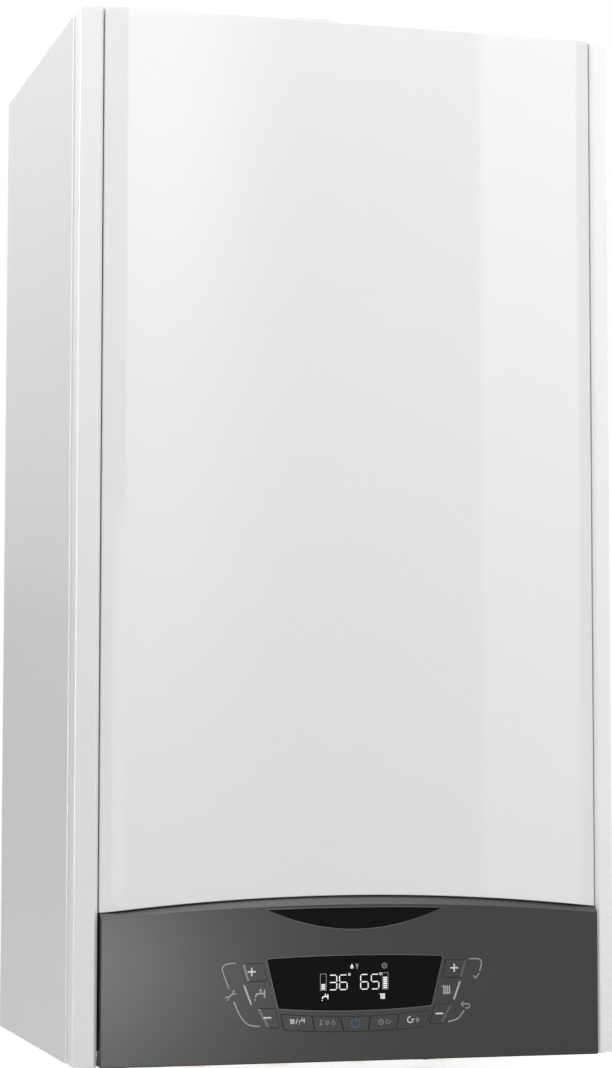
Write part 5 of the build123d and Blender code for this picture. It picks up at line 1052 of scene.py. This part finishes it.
def add_plug(shape, centre):
    """Upright grip with rounded flutes and rounded ends."""
    edge = quarter_round(PLUG_EDGE_R) + [(0, 2 * PLUG_EDGE_R)]
    ends = [(PLUG_LOW + rise, side) for side, rise in edge]
    ends += [(PLUG_HIGH - rise, side) for side, rise in reversed(edge)]

    def reach_at(turn):
        return PLUG_R - PLUG_FLUTE * (0.5 - 0.5 * math.cos(PLUG_FLUTES * turn)) ** 2

    add_tube(shape, [polar_loop(centre, z, lambda turn: reach_at(turn) - side, 144) for z, side in ends])


def add_top_fittings():
    lips = [(add_ring, (*FLUE, z), UP, radius, LIP_PROFILE) for z, radius in LIPS]
    add_shape("flue_lips", "gland_rubber", lips)
    for side, name in ((-1, "left"), (1, "right")):
        add_shape(name + "_sample_plug", "gland_rubber", [(add_plug, (side * PLUG_X, FLUE[1]))])
        cap = (side * CAP_X, FLUE[1], CAP_FACE)
        rims = [(add_ring, cap, UP, reach, RIM_PROFILE) for reach in CAP_RIMS]
        add_shape(name + "_cap_rims", "cap_white", rims)


# ---- fittings under the base
STUB_SPOTS = ((-130.0, 13.2), (-65.0, 10.5), (0.0, 13.2), (65.0, 10.5), (130.0, 13.2))
STUB_Y, STUB_LOW, STUB_TOP, STUB_WALL = -110.0, BOTTOM - 22.0, BOTTOM + 10.0, 3.5
STUB_THREAD, STUB_NUT, STUB_CORNER, STUB_LEAD = 14.0, 6.0, 4.5, (0.9, 1.4)
NUT_EDGE, NUT_CHAMFER, NECK_STEP, LAST_TURN, BRASS_SHARP = 1.0, 0.4, 1, 0.3, 24
THREAD_PITCH, THREAD_DEPTH, THREAD_CREST, CREST_SPOTS = 1.814, 1.16, 0.06, (0.7, 1.05)
HEX_FLAT = math.cos(math.pi / 6)


def add_hexed(shape, centre, rows, corner, start=0.0):
    """Closed upright form from (height, radius) pairs, cut to a hexagon with a corner at start."""
    def reach_at(turn):
        return corner * HEX_FLAT / math.cos((turn - start) % (math.pi / 3) - math.pi / 6)

    loops = [polar_loop(centre, z, lambda turn: min(reach, reach_at(turn))) for z, reach in rows]
    add_loops(shape, loops + loops[:1])


def add_stub(shape, x, radius):
    """Pipe end: chamfered thread, hexagon with turned corners, plain neck and bore."""
    corner, nut = radius + STUB_CORNER, STUB_LOW + STUB_THREAD
    chamfer, neck, bore = corner * HEX_FLAT - NUT_CHAMFER, radius - NECK_STEP, radius - STUB_WALL
    root, crest, top = radius - THREAD_DEPTH, radius - THREAD_CREST, nut + STUB_NUT
    rows = [(STUB_LOW, radius - STUB_LEAD[1])]
    z = STUB_LOW + STUB_LEAD[0]
    while z + THREAD_PITCH < nut - LAST_TURN:
        rows += [(z, root)] + [(z + rise, crest) for rise in CREST_SPOTS]
        z += THREAD_PITCH
    rows += [(z, root), (nut, root), (nut, chamfer), (nut + NUT_EDGE, corner), (top - NUT_EDGE, corner),
             (top, chamfer), (top, neck), (STUB_TOP, neck), (STUB_TOP, bore), (STUB_LOW, bore)]
    add_hexed(shape, (x, STUB_Y), rows, corner, -math.pi / 6)


GAUGE = (-97.5, -165.0)
DIAL_CENTRE = (GAUGE[0], -GAUGE[1])
DIAL_R, DIAL_HOLE, DIAL_Z, DIAL_REST, DIAL_SWEEP, DIAL_BARS = 17.8, 1.6, BOTTOM + 3.5, 145.0, 250.0, 4
DIAL_SIDES, ZONE_POINTS, BEZEL_SIDES = 64, 25, 96
MARK_Z = DIAL_Z - PRINT_PROUD
DIAL_ZONES = (("gauge_zone_safe", "dial_green", "board_green", 1.0, 2.0),
              ("gauge_zone_high", "dial_red", "knob_red", 3.0, 4.0))
BEZEL_PROFILE = ((0, 23.0), (-3.2, 23.0), (-3.9, 22.3), (-3.9, 19.2), (-3.2, 18.0), (0.4, 18.0), (0.4, 20.0))
FIGURE_SIZE, FIGURE_WIDTH, FIGURE_MARGIN = 1.15, 0.42, 6.2
MARK_MARGIN, WHOLE_MARK, QUARTER_MARK, ZONE_MARGINS = 0.9, (3.6, 0.5), (2.2, 0.3), (0.3, 0.85)
FIGURES = (
    [circle((0, 0), 1.0, 16)],
    [[(-0.5, 0.6), (0.2, 1.25), (0.2, -1.25)]],
    [smooth([(-0.8, 0.6), (-0.3, 1.2), (0.5, 1.1), (0.75, 0.4), (0.1, -0.4), (-0.85, -1.25)], 4)
     + [(0.9, -1.25)]],
    [smooth([(-0.75, 0.95), (0, 1.25), (0.7, 0.8), (0.45, 0.2), (-0.1, 0.05)], 4),
     smooth([(-0.1, 0.05), (0.6, -0.1), (0.8, -0.75), (0.1, -1.25), (-0.8, -0.95)], 4)],
    [[(0.45, -1.25), (0.45, 1.25), (-0.85, -0.45), (0.95, -0.45)]])


def dial_spot(bar, radius):
    """Place of a pressure on the drawn dial, clockwise from the lower left."""
    turn = -math.radians(DIAL_REST + DIAL_SWEEP * bar / DIAL_BARS)
    return polar(DIAL_CENTRE, radius, turn)


def turn_down(shape):
    """Turns a drawing that faces the front so that it faces the floor, its top towards the front."""
    bmesh.ops.rotate(shape, cent=(0, 0, 0), matrix=Matrix.Rotation(math.pi / 2, 3, "X"), verts=shape.verts)


def add_marks(shape):
    """Four marks to a bar, the whole bars longer and with their figures."""
    for step in range(4 * DIAL_BARS + 1):
        bar = step / 4
        whole = step % 4 == 0
        reach, width = WHOLE_MARK if whole else QUARTER_MARK
        add_line(shape, [dial_spot(bar, DIAL_R - margin) for margin in (MARK_MARGIN, reach)], width, MARK_Z)
        spot = dial_spot(bar, DIAL_R - FIGURE_MARGIN)
        for stroke in FIGURES[step // 4] if whole else ():
            add_line(shape, placed(stroke, spot, FIGURE_SIZE), FIGURE_WIDTH, MARK_Z)


def add_gauge():
    disc = [circle(DIAL_CENTRE, radius, DIAL_SIDES) for radius in (DIAL_R, DIAL_HOLE)]
    add_shape("gauge_face", "print_white", [(add_print, *disc, DIAL_Z, True), (turn_down,)], slot="cap_white")
    add_shape("gauge_marks", "needle_black", [(add_marks,), (turn_down,)])
    for name, finish, slot, low, high in DIAL_ZONES:
        edges = [[dial_spot(bar, DIAL_R - margin) for bar in spread(low, high, ZONE_POINTS)]
                 for margin in ZONE_MARGINS]
        add_shape(name, finish, [(add_print, *edges, MARK_Z, False), (turn_down,)], slot=slot)
    bezel = (add_ring, (*GAUGE, BOTTOM), UP, 0, BEZEL_PROFILE, BEZEL_SIDES)
    add_shape("gauge_bezel", "bright_zinc", [bezel])


def add_base_fittings():
    add_shape("threaded_ends", "plain_brass", [(add_stub, *spot) for spot in STUB_SPOTS],
              replaces=("pipe_stubs",), sharp=BRASS_SHARP)
    add_gauge()


# ---- fittings inside the casing
UNIONS = ((0.0, -110.0, -678.0), (130.0, -182.0, -350.0), (-100.0, -165.0, -276.0), (10.0, -165.0, -276.0),
          (110.0, -128.0, -488.0), (-75.0, -110.0, -588.0))
UNION_BORE, UNION_CORNER, UNION_HEIGHT, UNION_EDGE, UNION_CHAMFER = 9.05, 15.0, 17.0, 1.4, 0.3
PUMP, PUMP_MOTOR_R, PUMP_FINS = (110.0, -548.0), 44.0, spread(-218.0, -162.0, 8)
PUMP_VENT = (PUMP[0], -234.7, PUMP[1])
GRILLE = (PUMP[0] - 26, PUMP[0] + 26, spread(PUMP[1] + 32, PUMP[1] + 48, 3), -215.0, 1.2, 2.4)
FAN, FAN_MOTOR_R, FAN_FINS = (130.0, -155.0), 28.0, spread(-250.0, -226.0, 5)
FIN_PROFILE = ((0, -0.5), (0, 2.0), (0.4, 2.4), (1.8, 2.4), (2.2, 2.0), (2.2, -0.5))
SILENCER_RIBS = (96.0, 164.0, spread(-87.0, -4.0, 8), -140.0, 1.6, 3.4)
BAR_SINK, BAR_ROUND, BAR_EDGE = 0.5, 0.45, 0.4  # the last two are shares of a bar's width and rise
DOOR_R, DOOR_SEAL, SEAL_SIDES = 108.0, (-45.0, -223.2, -150.0), 144
SEAL_PROFILE = ((0, -1.0), (0, 0.8), (1.2, 1.3), (2.4, 0.8), (2.4, -1.0))
ACTUATOR_FRONT = -140.0
LID, LID_RISE, LID_REACH, LID_CORNER_R, LID_EDGE_R = (-151.0, -109.0, -544.0, -501.0), 1.4, 0.5, 4.0, 0.5
LID_BOLTS = [(x, z) for x in (-145.0, -115.0) for z in (-538.0, -507.0)]
VENT_PROFILE = ((0, 8.0), (1.6, 8.0), (2.2, 7.2), (2.2, 3.0), (1.2, 2.6))
BOLT_SINK, BOLT_PROFILE = 0.3, ((0, 3.2), (1.2, 3.2), (2.0, 2.56), (2.4, 1.28))


def add_nut(shape, x, y, z):
    """Upright union nut whose corners are turned down at both ends."""
    cap, high = UNION_CORNER * HEX_FLAT - UNION_CHAMFER, z + UNION_HEIGHT
    rows = [(z, cap), (z + UNION_EDGE, UNION_CORNER), (high - UNION_EDGE, UNION_CORNER), (high, cap),
            (high, UNION_BORE), (z, UNION_BORE)]
    add_hexed(shape, (x, y), rows, UNION_CORNER)


def fins(centre, radius, places):
    """Rings round a motor that lies from front to back."""
    return [(add_ring, (centre[0], y, centre[1]), BACKWARDS, radius, FIN_PROFILE) for y in places]


def bars(left, right, heights, front, rise, width):
    """Rounded bars across a flat face that looks to the front."""
    made = []
    for z in heights:
        outline = rounded(rectangle(left, right, z - width / 2, z + width / 2), width * BAR_ROUND)
        made.append((add_slab, outline, front - rise, front + BAR_SINK, rise * BAR_EDGE))
    return made


def add_inside_fittings():
    add_shape("union_nuts", "plain_brass", [(add_nut, *spot) for spot in UNIONS], sharp=BRASS_SHARP)
    add_shape("pump_fins", "motor_black", fins(PUMP, PUMP_MOTOR_R, PUMP_FINS) + bars(*GRILLE))
    add_shape("pump_vent_screw", "bright_zinc", [(add_turned, PUMP_VENT, FORWARDS, VENT_PROFILE, 48)])
    add_shape("fan_motor_fins", "motor_black", fins(FAN, FAN_MOTOR_R, FAN_FINS))
    add_shape("silencer_ribs", "silencer_grey", bars(*SILENCER_RIBS))
    seal = (add_ring, DOOR_SEAL, BACKWARDS, DOOR_R, SEAL_PROFILE, SEAL_SIDES)
    add_shape("door_seal", "ceramic_white", [seal])
    front = ACTUATOR_FRONT - LID_RISE
    outline = rounded(rectangle(*LID), LID_CORNER_R)
    lid = (outline, front, ACTUATOR_FRONT + LID_REACH, LID_EDGE_R)
    add_shape("actuator_lid", "motor_black", [(add_slab, *lid)])
    bolts = [(add_turned, (x, front + BOLT_SINK, z), FORWARDS, BOLT_PROFILE, 32) for x, z in LID_BOLTS]
    add_shape("actuator_bolts", "bright_zinc", bolts)


# ---- camera, lamps, floor
CAMERA_PLACE = (-0.5624, -2.1982, -0.4875)
CAMERA_YAW = math.radians(15.63)
CAMERA_PITCH = math.radians(4.66)
CAMERA_ROLL = math.radians(0.056)
FOCAL_PIXELS = 2752.5
SENSOR = 36.0
CLIP = (0.05, 50)


def add_camera():
    data = bpy.data.cameras.new("camera")
    data.sensor_width = SENSOR
    data.lens = FOCAL_PIXELS * SENSOR / IMAGE_HEIGHT
    data.clip_start, data.clip_end = CLIP
    camera = new_object("camera", data)
    turn = Matrix.Rotation(-CAMERA_YAW, 4, "Z") @ Matrix.Rotation(math.pi / 2 + CAMERA_PITCH, 4, "X")
    camera.matrix_world = Matrix.Translation(CAMERA_PLACE) @ turn @ Matrix.Rotation(CAMERA_ROLL, 4, "Z")
    bpy.context.scene.camera = camera


def add_lamp(name, place, target, size, radiance, fade):
    """Rectangular lamp of a given brightness. fade is how its brightness falls off across it."""
    data = bpy.data.lights.new(name, "AREA")
    data.shape = "RECTANGLE"
    data.size, data.size_y = size
    data.energy = radiance * math.pi * size[0] * size[1]
    lamp = new_object(name, data)
    lamp.location = place
    lamp.rotation_euler = (Vector(target) - Vector(place)).to_track_quat("-Z", "Y").to_euler()
    lamp.visible_camera = False
    lamp.visible_diffuse = name not in SHEEN_ONLY
    if fade:
        data.use_nodes = True
        feed(data.node_tree, data.node_tree.nodes["Emission"], {"Strength": fade(data.node_tree)})
    return lamp


def lamp_spot(tree):
    """Place on a lamp's face, from 0 to 1 across it and up it."""
    face = make_node(tree, "NewGeometry").outputs["Parametric"]
    return make_node(tree, "SeparateXYZ", {"Vector": face}).outputs


def soft_edges(tree):
    """Brightest in the middle, dying away smoothly to both sides and downwards."""
    spot = lamp_spot(tree)
    wave = calc(tree, "COSINE", calc(tree, "MULTIPLY", spot["X"], 2 * math.pi))
    return calc(tree, "MULTIPLY", ramp(tree, wave, 1, -1, 0, 1), ramp(tree, spot["Y"], 0, 0.7, 0, 1))


def brighter_above(tree):
    return ramp(tree, lamp_spot(tree)["Y"], 0, 1, 0.15, 1)


LAMPS = {  # place and target in m, width and height, brightness, and how it falls off
    "front_glow": ((0.36, -2.6, 0.15), (0.36, 0, 0.15), (0.5, 1.9), 2.4, soft_edges),
    "right_screen": ((0.811, -1.5, -0.1), (0.811, 0, -0.1), (0.6, 1.7), 2.1, brighter_above),
    "overhead": ((-0.1, -0.95, 1.25), (0, -0.3, -0.2), (1.4, 1.1), 1.4, None),
    "high_front": ((-0.3, -2.4, 1.7), (0, -0.3, -0.3), (1.8, 1.0), 5.65, None),
    "low_front": ((-0.25, -2.4, -0.42), (-0.25, 0, -0.42), (0.9, 0.56), 0.9, None),
    "low_glow": ((-0.17, -1.0, -0.679), (-0.17, 0, -0.679), (0.34, 0.08), 22.0, None),
    "edge_strip": ((-2.6, 0.0, -0.1), (-0.2, -0.3, -0.3), (1.0, 2.4), 8.0, None),
    "back_left": ((-0.66, 1.7, 0.5), (-0.3, 0, 0.2), (0.8, 1.5), 2.0, brighter_above),
    "left_high": ((-0.95, -0.5, 1.0), (-0.2, -0.25, -0.2), (0.7, 0.7), 5.2, None),
    "right_fill": ((1.7, -0.35, 0.1), (0.2, -0.25, -0.2), (0.7, 1.8), 3.3, brighter_above),
}
SHEEN_ONLY = ("low_glow", "edge_strip")
PANEL_ONLY = ("low_glow",)
PANEL_PIECES = ("fascia", "window_rims", "badge", "lens", "panel_lines", "panel_symbols")
WORLD_LIGHT = 0.19
WHITE = (1, 1, 1, 1)


def seen_rays(tree):
    """1 for rays that come from the camera, a mirror or glass, 0 for rays that light the object."""
    rays = make_node(tree, "LightPath").outputs
    mirrored_rays = calc(tree, "MAXIMUM", rays["Is Glossy Ray"], rays["Is Transmission Ray"])
    return calc(tree, "MAXIMUM", rays["Is Camera Ray"], mirrored_rays)


def add_light():
    scene = bpy.context.scene
    scene.view_settings.view_transform = "Standard"
    panel = bpy.data.collections.new("panel_pieces")
    for piece in bpy.data.objects:
        if piece.name in PANEL_PIECES or piece.name.startswith("key_") and piece.name.endswith("_cap"):
            panel.objects.link(piece)
    for name, values in LAMPS.items():
        lamp = add_lamp(name, *values)
        if name in PANEL_ONLY:
            lamp.light_linking.receiver_collection = panel
    scene.world = bpy.data.worlds.new("studio")
    scene.world.use_nodes = True
    tree = scene.world.node_tree
    room = tree.nodes["Background"]
    feed(tree, room, {"Strength": WORLD_LIGHT, "Color": WHITE})
    white = make_node(tree, "Background", {"Color": WHITE, "Strength": 1.0})
    blend = make_node(tree, "MixShader", {0: seen_rays(tree), 1: room.outputs[0], 2: white.outputs[0]})
    feed(tree, tree.nodes["World Output"], {"Surface": blend.outputs[0]})


FLOOR_DROP = 0.002
FLOOR_HALF = 6.0
FLOOR_GLOW = 0.75


def add_floor():
    height = cad_box[0].z - FLOOR_DROP
    mesh = bpy.data.meshes.new("floor")
    mesh.from_pydata(level_loop(rectangle(-FLOOR_HALF, FLOOR_HALF, -FLOOR_HALF, FLOOR_HALF), height), [],
                     [(0, 1, 2, 3)])
    floor = new_object("floor", mesh)
    material = surface(grey(0.5), 0.6, (400, 0.01), (6.0, 0.02))
    material.name = "floor"
    glow = calc(material.node_tree, "MULTIPLY", seen_rays(material.node_tree), FLOOR_GLOW)
    reshade(material, {"Emission Color": WHITE, "Emission Strength": glow})
    mesh.materials.append(material)


dress_nodes()
add_front_panel()
add_panel_pins()
for side, name in ((1, "right"), (-1, "left")):
    add_side_sheet(side, name + "_side_panel")
for side, name in ((1, "right"), (-1, "left")):
    add_trim(side, name + "_corner_trim")
add_fascia()
add_windows()
add_keys()
add_prints()
add_display()
add_top_fittings()
add_base_fittings()
add_inside_fittings()
add_camera()
add_light()
add_floor()
